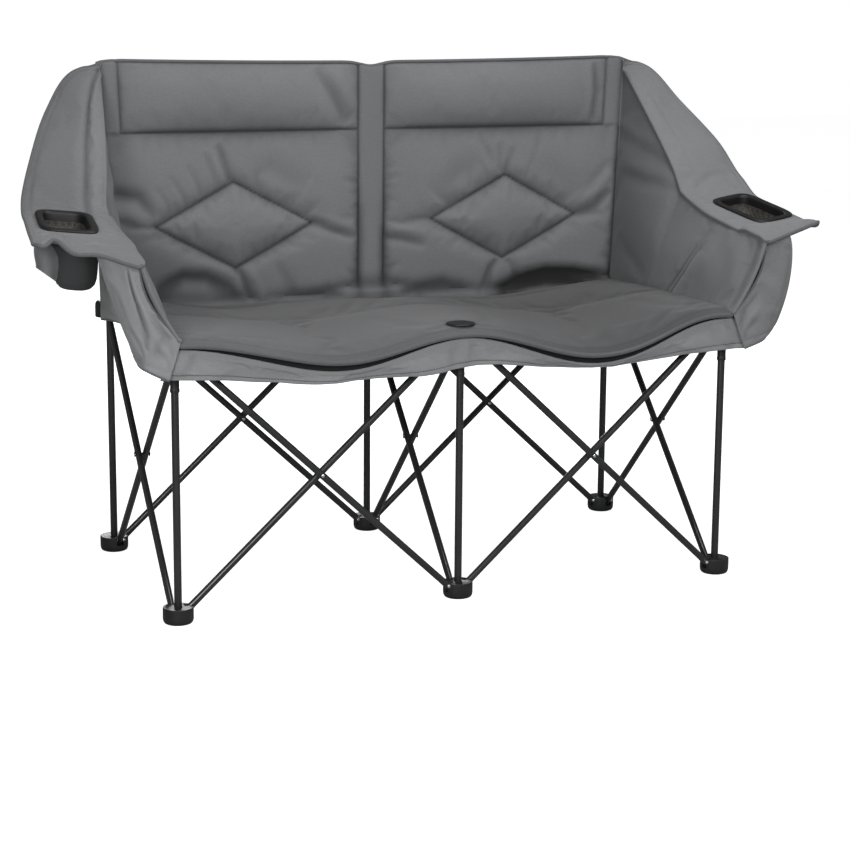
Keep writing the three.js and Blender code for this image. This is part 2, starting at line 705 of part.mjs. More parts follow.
function wingDepth(u, v) {
  const rim = Math.min(arch(v) * 2, arch(u) * 2, 1);
  return mix(wingEdgeThickness, wingThickness, Math.sqrt(Math.max(0, rim)));
}

const underWing = (u, v) => offsetPoint(wingMiddle, u, v, -half(wingDepth(u, v)) - hangGap);

function wing(side) {
  const middle = (u, v) => mirrored(wingMiddle(u, v), side);
  const solid = toSolid(quilt(shares(14), shares(7), middle, wingDepth));
  const level = (height) => ({ grow: fitGap - ringBand, height, roundShare: 0, shift: 0 });
  const reach = wingThickness * 2;
  const plug = cupSolid(cupFrame(side), [
    { centre: true, height: -reach, shift: 0 }, level(-reach), level(reach),
    { centre: true, height: reach, shift: 0 },
  ], false);
  return solid.subtract(toSolid(plug));
}

// The padded inner wall of an arm, from the seat up to the seam of the wing
function sidePanel(side) {
  const frontLimit = half(bayDepth) * coverShares[0][1] + coverThickness;
  const face = (outer) => (u, v) => {
    const seam = seamCurve.getPoint(u);
    const width = seam.distanceTo(edgeCurve.getPoint(u));
    const top = underWing(u, outer ? Math.min(half(1), sideEdgeThickness / width) : 0);
    const bottom = new THREE.Vector3(sideInner, top.y, sideBottom + sideFrontRise * u * u);
    if (outer) bottom.x += sideEdgeThickness;
    const point = bottom.lerp(top, v);
    const crown = Math.min(1, arch(u) * 2) * arch(v);
    if (outer) point.x += (sideThickness - sideEdgeThickness) * crown;
    else point.x -= sideBulge * crown * arch(v);
    point.y = THREE.MathUtils.clamp(point.y, frontLimit, backCornerFront - fitGap);
    return mirrored(point, side);
  };
  return slab(shares(14), shares(7), face(false), face(true));
}

// Stations of an arm's outer cover, from the inner edge of the front band, round the corner and
// back to the post: the lower edge as shares of the wing's reach, of half the bay's depth and of
// the rise to the arm; the upper edge as shares along and across the wing; and the bulge.
const coverShares = [
  [0.109, -1.17, 0, 1, 0.02, 0], [0.292, -1.15, 0.12, 1, 0.22, 0.25],
  [0.361, -1.06, 0.12, 0.97, 0.4, 0.75], [0.278, -0.8, 0.05, 0.88, 0.33, 0.9],
  [0.208, -0.48, 0.06, 0.77, 0.16, 0.25], [0.162, 0, 0.09, 0.6, 0.15, 0.15],
  [0.13, 0.4, 0.12, 0.38, 0.2, 0.12], [0.125, 0.76, 0.135, 0.16, 0.2, 0.1],
];
const bandTuckHeightShare = 0.35;
const bandLengthShare = 1 / 7;

function armCover(side) {
  const stations = coverShares.map(([reach, depth, rise, wingAlong, wingAcross, bulge]) => ({
    low: new THREE.Vector3(bayWidth + wingReach * reach, half(bayDepth) * depth, mix(coverBottom, armHeight, rise)),
    wing: new THREE.Vector3(wingAlong, wingAcross, bulge),
  }));
  const lowCurve = new THREE.CatmullRomCurve3(stations.map((station) => station.low));
  const wingCurve = new THREE.CatmullRomCurve3(stations.map((station) => station.wing));
  const middle = (u, v) => {
    const onWing = wingCurve.getPoint(u);
    const top = underWing(Math.min(1, onWing.x), onWing.y);
    top.z -= coverDrop;
    const outward = lowCurve.getTangent(u).cross(up).setZ(0).normalize();
    const point = lowCurve.getPoint(u).lerp(top, v);
    point.addScaledVector(outward, coverBulge * onWing.z * Math.sqrt(arch(v)));
    const tuck = Math.min(v / bandTuckHeightShare, (1 - v) / (1 - bandTuckHeightShare));
    point.x -= bandTuck * tuck * Math.max(0, 1 - u / bandLengthShare);
    return mirrored(point, side);
  };
  return quilt(shares(14), shares(7), middle, () => coverThickness);
}

// The strip of cloth that hangs in front of the hubs
const valanceFlarePower = 8;

function valance() {
  const face = valanceFront - half(valanceThickness);
  const side = (offset) => (x, v) => {
    const across = Math.abs(x) / bayWidth;
    const low = valanceBottom - valanceDip * arch(across) ** 2 - half(valanceWave) * arch(across * 2);
    const high = seatTop(x, face) - seatDepth(x, face) - fitGap * 2;
    const wave = valanceWave * arch(across) * Math.cos(across * TAU * 3) * (1 - v);
    const flare = Math.sign(x) * valanceFlare * (1 - v) * across ** valanceFlarePower;
    return new THREE.Vector3(x + flare, valanceFront + offset + wave, mix(low, high, v));
  };
  return slab(seatColumns, shares(3), side(-half(valanceThickness)), side(half(valanceThickness)));
}

// The disc over the seat at the middle front hub, with a stem down into the guide tube
function clampDisc() {
  const post = postAt('front', 'middle');
  const bottom = seatHeight + fitGap;
  const radius = half(discDiameter);
  const outline = [
    new THREE.Vector2(0, -stemLength), new THREE.Vector2(half(stemDiameter), -stemLength),
    new THREE.Vector2(half(stemDiameter), 0), new THREE.Vector2(radius, 0),
    new THREE.Vector2(radius, discThickness - discCrown), new THREE.Vector2(radius - discThickness, discThickness),
    new THREE.Vector2(0, discThickness),
  ];
  return new THREE.LatheGeometry(outline, hubSides).rotateX(Math.PI / 2).translate(post.x, post.y, bottom);
}

const loveseat = new THREE.Group();
loveseat.position.y = frameShift;

function addPiece(name, shape, material) {
  const geometry = shape instanceof THREE.BufferGeometry ? shape : toGeometry(shape);
  const mesh = new THREE.Mesh(geometry, material);
  mesh.name = name;
  loveseat.add(mesh);
}

for (const { row, column } of places) {
  const post = postAt(row, column);
  const postBottom = new THREE.Vector3(post.x, post.y, socketFloor + fitGap);
  addPiece(`foot_${row}_${column}`, foot(row, column), hubPlastic);
  if (row === 'back') {
    const top = new THREE.Vector3(post.x, post.y, backPostTop);
    addPiece(`post_back_${column}`, tube(postBottom, top, postDiameter, postWall, postSides), steelBlack);
    addPiece(`slide_hub_${column}`, slidingHub(row, column), hubPlastic);
  } else {
    const top = new THREE.Vector3(post.x, post.y, legTop);
    addPiece(`leg_front_${column}`, tube(postBottom, top, postDiameter, postWall, postSides), steelBlack);
    const guideLow = new THREE.Vector3(post.x, post.y, guideBottom);
    const guideHigh = new THREE.Vector3(post.x, post.y, hubTop);
    addPiece(`guide_tube_${column}`, tube(guideLow, guideHigh, guideDiameter, guideWall, postSides), rivetSteel);
    addPiece(`front_hub_${column}`, frontHub(row, column), hubPlastic);
  }
}

for (const cross of crosses) {
  addBrace(loveseat, cross, true);
  addBrace(loveseat, cross, false);
  addPiece(`rivet_${cross.name}`, crossRivet(cross), rivetSteel);
}

for (const [name, side] of [['left', -1], ['right', 1]]) {
  const { from, direction } = armTubeLine(side);
  const to = from.clone().addScaledVector(direction, armTubeLength);
  addPiece(`arm_tube_${name}`, tube(from, to, armTubeDiameter, armTubeWall, postSides), steelBlack);
  addPiece(`arm_wing_${name}`, wing(side), greyCloth);
  addPiece(`side_panel_${name}`, sidePanel(side), greyCloth);
  addPiece(`arm_cover_${name}`, armCover(side), greyCloth);
  addPiece(`cup_ring_${name}`, cupRing(side), ringPlastic);
  addPiece(`cup_pouch_${name}`, cupPouch(side), darkCloth);
}

addPiece('seat_front_leaf', seatLeaf(seatFrontRows), greyCloth);
addPiece('seat_rear_leaf', seatLeaf(seatRearRows), greyCloth);
addPiece('back_panel', backPanel(), greyCloth);
addPiece('front_valance', valance(), greyCloth);
addPiece('clamp_disc', clampDisc(), hubPlastic);

export default loveseat;
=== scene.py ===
"""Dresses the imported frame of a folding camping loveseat: tubes, plastic, padded cloth and light."""

import json
import logging
import math
from collections.abc import Callable
from dataclasses import dataclass, field
from enum import Enum

import bmesh
import bpy
import numpy as np
from mathutils import Matrix, Vector


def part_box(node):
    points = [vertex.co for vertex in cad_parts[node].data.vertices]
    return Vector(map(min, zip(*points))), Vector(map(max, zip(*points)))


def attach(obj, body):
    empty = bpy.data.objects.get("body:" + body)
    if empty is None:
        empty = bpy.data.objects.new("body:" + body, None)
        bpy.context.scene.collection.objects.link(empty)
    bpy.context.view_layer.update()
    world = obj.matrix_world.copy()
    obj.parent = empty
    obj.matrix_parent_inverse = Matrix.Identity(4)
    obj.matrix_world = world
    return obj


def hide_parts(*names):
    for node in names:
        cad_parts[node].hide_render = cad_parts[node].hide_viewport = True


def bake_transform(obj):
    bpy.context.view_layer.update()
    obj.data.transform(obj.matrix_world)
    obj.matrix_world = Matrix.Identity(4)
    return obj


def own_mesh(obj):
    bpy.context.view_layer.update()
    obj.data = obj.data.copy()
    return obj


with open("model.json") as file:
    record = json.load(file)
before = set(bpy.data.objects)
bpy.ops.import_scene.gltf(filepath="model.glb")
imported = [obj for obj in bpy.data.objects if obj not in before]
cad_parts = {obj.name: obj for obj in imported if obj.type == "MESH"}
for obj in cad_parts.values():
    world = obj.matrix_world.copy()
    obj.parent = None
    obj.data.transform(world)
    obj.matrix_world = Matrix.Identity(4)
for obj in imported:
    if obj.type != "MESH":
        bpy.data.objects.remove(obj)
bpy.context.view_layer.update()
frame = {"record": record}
LOG = logging.getLogger("loveseat")

# Metres in a millimetre, and how far the grid of posts lies behind the origin.
MM = 0.001
ROW_SHIFT = 12.0
# Edges that turn by more degrees than this stay crisp, on cloth and on hard parts.
SOFT_EDGE = 60.0
HARD_EDGE = 35.0
# The three columns of posts.
COLUMNS = ("left", "middle", "right")
Points = np.ndarray
Faces = list
Shape = tuple[Points, Faces]


def arch(share: Points) -> Points:
    """One half wave over a share from 0 to 1."""
    return np.sin(np.pi * np.clip(share, 0.0, 1.0))


def ease(share: Points) -> Points:
    """A smooth step of a share from 0 to 1."""
    held = np.clip(share, 0.0, 1.0)
    return held * held * (3.0 - 2.0 * held)


def mix(low: Points, high: Points, share: Points) -> Points:
    """Goes from low to high with a share."""
    return low + (high - low) * share


def bell(gap: Points, width: float) -> Points:
    """A share that is 1 where the gap is 0 and fades within a width."""
    return np.exp(-((gap / width) ** 2))


def share_grid(rows: int, columns: int) -> list[Points]:
    """Shares from 0 to 1 down the rows and along the columns of a grid."""
    return np.meshgrid(np.linspace(0, 1, rows), np.linspace(0, 1, columns), indexing="ij")


def unit(vectors: Points) -> Points:
    """Vectors of length one along the last axis."""
    length = np.linalg.norm(vectors, axis=-1, keepdims=True)
    return vectors / np.maximum(length, 1e-9)


def normals(surface: Callable[[Points, Points], Points], u: Points, v: Points) -> Points:
    """Directions out of a surface.

    Args:
        surface: gives points from two shares.
        u: first shares.
        v: second shares.

    Returns:
        Directions of length one.
    """
    step = 1 / 64
    along_u = surface(np.minimum(u + step, 1), v) - surface(np.maximum(u - step, 0), v)
    along_v = surface(u, np.minimum(v + step, 1)) - surface(u, np.maximum(v - step, 0))
    return unit(np.cross(along_u, along_v))


def stroke(x: Points, z: Points, line: list[tuple[float, float]], width: float) -> Points:
    """How near places are to a drawn line that tapers at both ends.

    Args:
        x: first coordinates.
        z: second coordinates.
        line: the points of the line.
        width: distance at which the mark has faded.

    Returns:
        A share from 0 away from the line to 1 on its middle.
    """
    ends = np.asarray(line, float)
    lengths = np.linalg.norm(np.diff(ends, axis=0), axis=1)
    total = lengths.sum()
    best = np.zeros_like(x, dtype=float)
    before = 0.0
    for first, last, length in zip(ends[:-1], ends[1:], lengths):
        along = (last - first) / length
        reach = (x - first[0]) * along[0] + (z - first[1]) * along[1]
        held = np.clip(reach, 0.0, length)
        dx = x - first[0] - along[0] * held
        dz = z - first[1] - along[1] * held
        share = (before + held) / total
        taper = np.sqrt(np.clip(4.0 * share * (1.0 - share), 0.0, 1.0))
        mark = np.exp(-(dx * dx + dz * dz) / (width * width)) * taper
        best = np.maximum(best, mark)
        before += length
    return best


@dataclass(frozen=True)
class Crease:
    """A fold pressed into padding: its line, width, depth (a ridge is negative) and how much painted shade
    darkens it.
    """

    line: tuple[tuple[float, float], ...]
    width: float
    depth: float
    dark: float = 0.0

    def relief(self, x: Points, z: Points) -> Points:
        """How far the cloth sinks at each place."""
        return stroke(x, z, list(self.line), self.width) * self.depth


def sink(creases: tuple[Crease, ...], x: Points, z: Points) -> Points:
    """The sum of several creases at each place.

    Args:
        creases: the folds.
        x: places across the seat.
        z: heights.

    Returns:
        How far the cloth sinks.
    """
    total = np.zeros_like(x, dtype=float)
    for crease in creases:
        total += crease.relief(x, z)
    return total


def hollows(height: Points, spread: int, full: float) -> Points:
    """How far each place of a sheet lies below the cloth around it.

    Args:
        height: the sheet's height on its grid.
        spread: cells that count as around it.
        full: the fall that counts as one.

    Returns:
        A share from -1 on ridges to 1 in hollows.
    """
    steps = np.arange(-2 * spread, 2 * spread + 1)
    weights = np.exp(-0.5 * (steps / spread) ** 2)
    weights = weights / weights.sum()
    around = np.pad(height, 2 * spread, mode="edge")
    rows = sum(w * around[k:k + height.shape[0]] for k, w in enumerate(weights))
    around = sum(w * rows[:, k:k + height.shape[1]] for k, w in enumerate(weights))
    return np.clip((around - height) / full, -1.0, 1.0)


class Curve3:
    """A smooth line through points, with its speed fitted to their spacing."""

    def __init__(self, points: Points) -> None:
        """Keeps the points, with one more past each end.

        Args:
            points: rows of three coordinates.
        """
        start = points[0] * 2 - points[1]
        end = points[-1] * 2 - points[-2]
        self.knots = np.vstack([start, points, end])
        self.spans = len(points) - 1

    def at(self, share: Points) -> Points:
        """Points of the line.

        Args:
            share: shares of the way, from 0 to 1, in any shape.

        Returns:
            Coordinates with one more axis.
        """
        place = np.clip(np.asarray(share, float), 0.0, 1.0) * self.spans
        index = np.minimum(place.astype(int), self.spans - 1)
        t = (place - index)[..., None]
        p0, p1, p2, p3 = (self.knots[index + k] for k in range(4))
        d0, d1, d2 = (np.maximum(np.sqrt(np.linalg.norm(b - a, axis=-1, keepdims=True)), 1e-4)
                      for a, b in ((p0, p1), (p1, p2), (p2, p3)))
        m1 = ((p1 - p0) / d0 - (p2 - p0) / (d0 + d1) + (p2 - p1) / d1) * d1
        m2 = ((p2 - p1) / d1 - (p3 - p1) / (d1 + d2) + (p3 - p2) / d2) * d1
        c2 = -3 * p1 + 3 * p2 - 2 * m1 - m2
        c3 = 2 * p1 - 2 * p2 + m1 + m2
        return p1 + m1 * t + c2 * t * t + c3 * t ** 3

    def tangent(self, share: Points) -> Points:
        """Directions of the line at shares of the way.

        Args:
            share: shares of the way.

        Returns:
            Directions of length one.
        """
        step = 1e-4
        ahead = self.at(np.minimum(np.asarray(share, float) + step, 1.0))
        behind = self.at(np.maximum(np.asarray(share, float) - step, 0.0))
        return unit(ahead - behind)


# Meshes


def grid_faces(rows: int, columns: int, start: int = 0) -> Points:
    """The four-sided faces of a grid of points, row by row.

    Args:
        rows: rows of points.
        columns: columns of points.
        start: number of the first point.

    Returns:
        The faces.
    """
    i, j = np.meshgrid(np.arange(rows - 1), np.arange(columns - 1), indexing="ij")
    a = start + i * columns + j
    return np.stack([a, a + columns, a + columns + 1, a + 1], -1).reshape(-1, 4)


def tube_faces(rings: int, sides: int, closed: bool = False) -> Faces:
    """The faces between rings of points, each ring joined to the next.

    Args:
        rings: how many rings there are.
        sides: points in each ring.
        closed: whether the last ring joins the first, instead of both being capped.

    Returns:
        The faces.
    """
    faces = []
    for k in range(rings if closed else rings - 1):
        near, far = k * sides, (k + 1) % rings * sides
        faces += [[near + s, near + (s + 1) % sides, far + (s + 1) % sides, far + s] for s in range(sides)]
    if not closed:
        faces.append(list(range(sides))[::-1])
        faces.append([(rings - 1) * sides + s for s in range(sides)])
    return faces


def closed_pad(front: Points, back: Points, rim_steps: int = 4, holes: Points | None = None,
               flat_edge: Points | None = None) -> Shape:
    """A pad between two sheets on one grid, with a rounded rim.

    Args:
        front: the outer sheet, rows by columns by three.
        back: the inner sheet, alike.
        rim_steps: strips in the half round of the rim.
        holes: cells that are cut through both sheets.
        flat_edge: points of the grid where the rim is flat.

    Returns:
        The points and the faces.
    """
    rows, columns = front.shape[:2]
    count = rows * columns
    keep = np.ones((rows - 1, columns - 1), bool) if holes is None else ~holes
    outer = grid_faces(rows, columns)[keep.ravel()]
    inner = grid_faces(rows, columns, count)[keep.ravel()][:, ::-1]
    ij = [(0, j) for j in range(columns)] + [(i, columns - 1) for i in range(1, rows)]
    ij += [(rows - 1, j) for j in range(columns - 2, -1, -1)] + [(i, 0) for i in range(rows - 2, 0, -1)]
    i, j = np.array(ij).T
    i_in, j_in = np.clip(i, 1, rows - 2), np.clip(j, 1, columns - 2)
    f, b = front[i, j], back[i, j]
    middle = (f + b) / 2
    thick = (f - b) / 2
    out = middle - (front[i_in, j_in] + back[i_in, j_in]) / 2
    across = unit(thick)
    out = unit(out - (out * across).sum(-1, keepdims=True) * across)
    radius = np.linalg.norm(thick, axis=-1, keepdims=True)
    if flat_edge is not None:
        radius = radius * np.where(flat_edge[i, j], 0.0, 1.0)[:, None]
    rings = [i * columns + j]
    points = [front.reshape(-1, 3), back.reshape(-1, 3)]
    start = count * 2
    for step in range(1, rim_steps):
        angle = math.pi * step / rim_steps
        points.append(middle + thick * math.cos(angle) + out * radius * math.sin(angle))
        rings.append(np.arange(start, start + len(i)))
        start += len(i)
    rings.append(count + i * columns + j)
    faces = [outer, inner]
    for near, far in zip(rings[:-1], rings[1:]):
        faces.append(np.stack([near, np.roll(near, -1), np.roll(far, -1), far], -1))
    walls = []
    if holes is not None:
        for r, c in zip(*np.nonzero(holes)):
            for (r2, c2), (p, q) in (
                ((r - 1, c), ((r, c), (r, c + 1))), ((r + 1, c), ((r + 1, c), (r + 1, c + 1))),
                ((r, c - 1), ((r, c), (r + 1, c))), ((r, c + 1), ((r, c + 1), (r + 1, c + 1))),
            ):
                if not holes[r2, c2]:
                    a, e = p[0] * columns + p[1], q[0] * columns + q[1]
                    walls.append([a, e, e + count, a + count])
    every = np.vstack(faces + ([np.array(walls)] if walls else []))
    return np.vstack(points), every.tolist()


def lathe(profile: list[tuple[float, float]], segments: int = 64) -> Shape:
    """A turned solid round the Z axis from radius and height pairs that start and end on the axis.

    Args:
        profile: radius and height of each corner.
        segments: facets round the axis.

    Returns:
        The points and the faces.
    """
    angles = np.linspace(0, 2 * np.pi, segments, endpoint=False)
    points, faces = [], []
    rings = []
    for radius, height in profile:
        if radius < 1e-9:
            rings.append([len(points)] * segments)
            points.append((0.0, 0.0, height))
        else:
            rings.append(list(range(len(points), len(points) + segments)))
            points.extend((radius * math.cos(a), radius * math.sin(a), height) for a in angles)
    for low, high in zip(rings[:-1], rings[1:]):
        for k in range(segments):
            m = (k + 1) % segments
            face = [low[k], low[m], high[m], high[k]]
            faces.append(list(dict.fromkeys(face)))
    return np.array(points), faces


def rounded(profile: list[tuple[float, float, float]], steps: int = 4) -> list[tuple[float, float]]:
    """Rounds the corners of a profile given as radius, height and corner radius.

    Args:
        profile: radius, height and corner radius of each corner.
        steps: parts of each round.

    Returns:
        Radius and height of each point.
    """
    corners = [np.array(p[:2], float) for p in profile]
    result = []
    for k, (x, z, r) in enumerate(profile):
        if r <= 0 or k in (0, len(profile) - 1):
            result.append((x, z))
            continue
        here = corners[k]
        to_last, to_next = unit(corners[k - 1] - here), unit(corners[k + 1] - here)
        a, b = here + to_last * r, here + to_next * r
        for step in range(steps + 1):
            t = step / steps
            point = a * (1 - t) ** 2 + here * 2 * t * (1 - t) + b * t * t
            result.append((float(point[0]), float(point[1])))
    return result


def aimed(points: Points, origin: Points, direction: Points) -> Points:
    """Points made along Z, turned to a direction and moved to an origin."""
    turn = Vector((0, 0, 1)).rotation_difference(Vector(unit(np.asarray(direction, float)))).to_matrix()
    return points @ np.array(turn).T + np.asarray(origin, float)


def swept(path: Points, radius: float | Points, sides: int = 12, flat: float = 1.0,
          closed: bool = False) -> Shape:
    """A round cord of cloth or steel along a path.

    Args:
        path: the middle line, rows of three.
        radius: half its thickness, one value or one for each point.
        sides: facets round it.
        flat: height of the section as a share of its width.
        closed: whether the path joins its own start.

    Returns:
        The points and the faces.
    """
    path = np.asarray(path, float)
    count = len(path)
    if closed:
        along = unit(np.roll(path, -1, 0) - np.roll(path, 1, 0))
    else:
        along = unit(np.gradient(path, axis=0))
    side = np.zeros_like(path)
    start = np.cross(along[0], (0.0, 0.0, 1.0))
    side[0] = unit(start if np.linalg.norm(start) > 1e-3 else np.cross(along[0], (0.0, 1.0, 0.0)))
    for k in range(1, count):
        turned = side[k - 1] - along[k] * (side[k - 1] @ along[k])
        side[k] = unit(turned)
    other = np.cross(along, side)
    radii = np.broadcast_to(np.asarray(radius, float), (count,))[:, None, None]
    angles = np.linspace(0, 2 * np.pi, sides, endpoint=False)
    wide, high = np.cos(angles)[None, :, None], np.sin(angles)[None, :, None]
    ring = side[:, None] * wide + other[:, None] * high * flat
    points = (path[:, None] + ring * radii).reshape(-1, 3)
    return points, tube_faces(count, sides, closed)


def merged(parts: list[Shape]) -> Shape:
    """Several meshes as one.

    Args:
        parts: the meshes.

    Returns:
        The points and the faces.
    """
    points, faces, start = [], [], 0
    for part_points, part_faces in parts:
        points.append(part_points)
        faces.extend([[n + start for n in face] for face in part_faces])
        start += len(part_points)
    return np.vstack(points), faces


def make_piece(name: str, points: Points, faces: Faces, finish: bpy.types.Material,
               shade: Points | None = None, crisp: float = SOFT_EDGE) -> bpy.types.Object:
    """A Blender object from millimetres on the post grid.

    Args:
        name: the piece's name.
        points: rows of three, in millimetres.
        faces: lists of point numbers.
        finish: its material.
        shade: painted shade and light, with dark seam lines: a share for each point that its finish darkens
            by, or lightens by where it is negative.
        crisp: edges that turn more than this many degrees stay crisp.

    Returns:
        The object, linked to the scene.
    """
    placed = (np.asarray(points, float) + (0.0, ROW_SHIFT, 0.0)) * MM
    mesh = bpy.data.meshes.new(name)
    mesh.from_pydata(placed.tolist(), [], faces)
    shaper = bmesh.new()
    shaper.from_mesh(mesh)
    bmesh.ops.recalc_face_normals(shaper, faces=shaper.faces)
    shaper.to_mesh(mesh)
    shaper.free()
    mesh.polygons.foreach_set("use_smooth", np.ones(len(mesh.polygons), bool))
    mesh.set_sharp_from_angle(angle=math.radians(crisp))
    # Painted light and shade, with dark seam lines, go to the cloth finish as a point attribute.
    marks = mesh.attributes.new("seam_shade", "FLOAT", "POINT")
    if shade is not None and len(shade) == len(mesh.vertices):
        marks.data.foreach_set("value", np.asarray(shade, np.float32))
    mesh.materials.append(finish)
    mesh.update()
    piece = bpy.data.objects.new(name, mesh)
    bpy.context.scene.collection.objects.link(piece)
    return piece


def draw_in(piece: bpy.types.Object, slot: str, body: str) -> None:
    """Puts a piece on a body, with a mesh of its own.

    Args:
        piece: the piece.
        slot: not used.
        body: the body that it rides on.
    """
    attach(piece, body)
    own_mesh(piece)


def padded_shade(sheet_shade: Points, total: int, rear_share: float = 0.0) -> Points:
    """Painted light and shade, with dark seam lines, for both sheets of a pad, and none on its rim."""
    flat = sheet_shade.ravel()
    return np.concatenate([flat, flat * rear_share, np.zeros(total - 2 * len(flat))])


def stitches(path: Points, lift: Points, length: float = 3.2, pitch: float = 5.0,
             radius: float = 0.55) -> Shape:
    """A row of single stitches that lie on cloth.

    Args:
        path: the seam, rows of three.
        lift: the direction out of the cloth, one for each point.
        length: length of one stitch.
        pitch: from one stitch to the next.
        radius: half the thread.

    Returns:
        The points and the faces.
    """
    steps = np.linalg.norm(np.diff(path, axis=0), axis=1)
    reach = np.concatenate([[0.0], np.cumsum(steps)])
    parts = []
    for start in np.arange(pitch / 2, reach[-1] - length, pitch):
        marks = start + np.array([0.0, 0.25, 0.75, 1.0]) * length
        line = np.stack([np.interp(marks, reach, path[:, k]) for k in range(3)], -1)
        out = unit(np.stack([np.interp(marks, reach, lift[:, k]) for k in range(3)], -1))
        rise = np.array([-0.3, 0.5, 0.5, -0.3])[:, None] * radius
        parts.append(swept(line + out * rise, radius, 5))
    return merged(parts)


@dataclass(frozen=True)
class Filling:
    """How stuffed cloth settles: its pressure, spare cloth, stiffness and the most it may move."""

    pressure: float = 4.0
    spare: float = 0.02
    bend: float = 3.0
    reach: float = 6.0
    stretch: float = 18.0
    damping: float = 12.0
    mass: float = 0.15
    quality: int = 4
    frames: int = 14

    def settle(self, name: str, sheet: Points, outward: Points, held: Points) -> Points:
        """Lets a sheet of cloth swell and wrinkle between its seams.

        Args:
            name: a name for the cloth while it moves.
            sheet: a grid of points in millimetres.
            outward: the way the padding pushes, one direction for each point.
            held: true where the cloth is sewn down.

        Returns:
            The grid where the cloth has come to rest.
        """
        rows, columns = sheet.shape[:2]
        faces = grid_faces(rows, columns)
        along = np.cross(sheet[1:, :-1] - sheet[:-1, :-1], sheet[:-1, 1:] - sheet[:-1, :-1])
        if (along * outward[:-1, :-1]).sum() < 0:
            faces = faces[:, ::-1]
        start = sheet.reshape(-1, 3) * MM
        mesh = bpy.data.meshes.new(name)
        mesh.from_pydata(start.tolist(), [], faces.tolist())
        cloth = bpy.data.objects.new(name, mesh)
        scene = bpy.context.scene
        scene.collection.objects.link(cloth)
        sewn = cloth.vertex_groups.new(name="sewn")
        sewn.add([int(n) for n in np.flatnonzero(held.ravel())], 1.0, "REPLACE")
        swell = cloth.modifiers.new("filling", "CLOTH")
        rules = swell.settings
        rules.quality = self.quality
        rules.mass = self.mass
        rules.tension_stiffness = self.stretch
        rules.compression_stiffness = self.stretch
        rules.shear_stiffness = self.stretch / 2
        rules.bending_stiffness = self.bend
        rules.tension_damping = self.damping
        rules.compression_damping = self.damping
        rules.shear_damping = self.damping * 2 / 3
        rules.use_pressure = True
        rules.uniform_pressure_force = self.pressure
        rules.shrink_min = -self.spare
        rules.vertex_group_mass = "sewn"
        rules.effector_weights.gravity = 0.0
        swell.collision_settings.use_collision = False
        swell.collision_settings.use_self_collision = False
        swell.point_cache.frame_start = 1
        swell.point_cache.frame_end = self.frames
        for step in range(1, self.frames + 1):
            scene.frame_set(step)
        settled = cloth.evaluated_get(bpy.context.evaluated_depsgraph_get())
        moved = np.empty(len(start) * 3)
        settled.data.vertices.foreach_get("co", moved)
        bpy.data.objects.remove(cloth)
        bpy.data.meshes.remove(mesh)
        scene.frame_set(1)
        shift = (moved.reshape(-1, 3) - start) / MM
        length = np.linalg.norm(shift, axis=1, keepdims=True)
        held_back = shift * (self.reach * np.tanh(length / self.reach) / np.maximum(length, 1e-9))
        LOG.info("%s settled: mean move %.2f mm, most %.2f mm", name, length.mean(), length.max())
        return sheet + held_back.reshape(sheet.shape)


def edges_of(rows: int, columns: int, inner: int = 0) -> Points:
    """True on the rim of a grid and a few cells inside it.

    Args:
        rows: rows of points.
        columns: columns of points.
        inner: how many more cells count.

    Returns:
        A grid of truths.
    """
    held = np.zeros((rows, columns), bool)
    held[:inner + 1] = True
    held[-inner - 1:] = True
    held[:, :inner + 1] = True
    held[:, -inner - 1:] = True
    return held


# Finishes


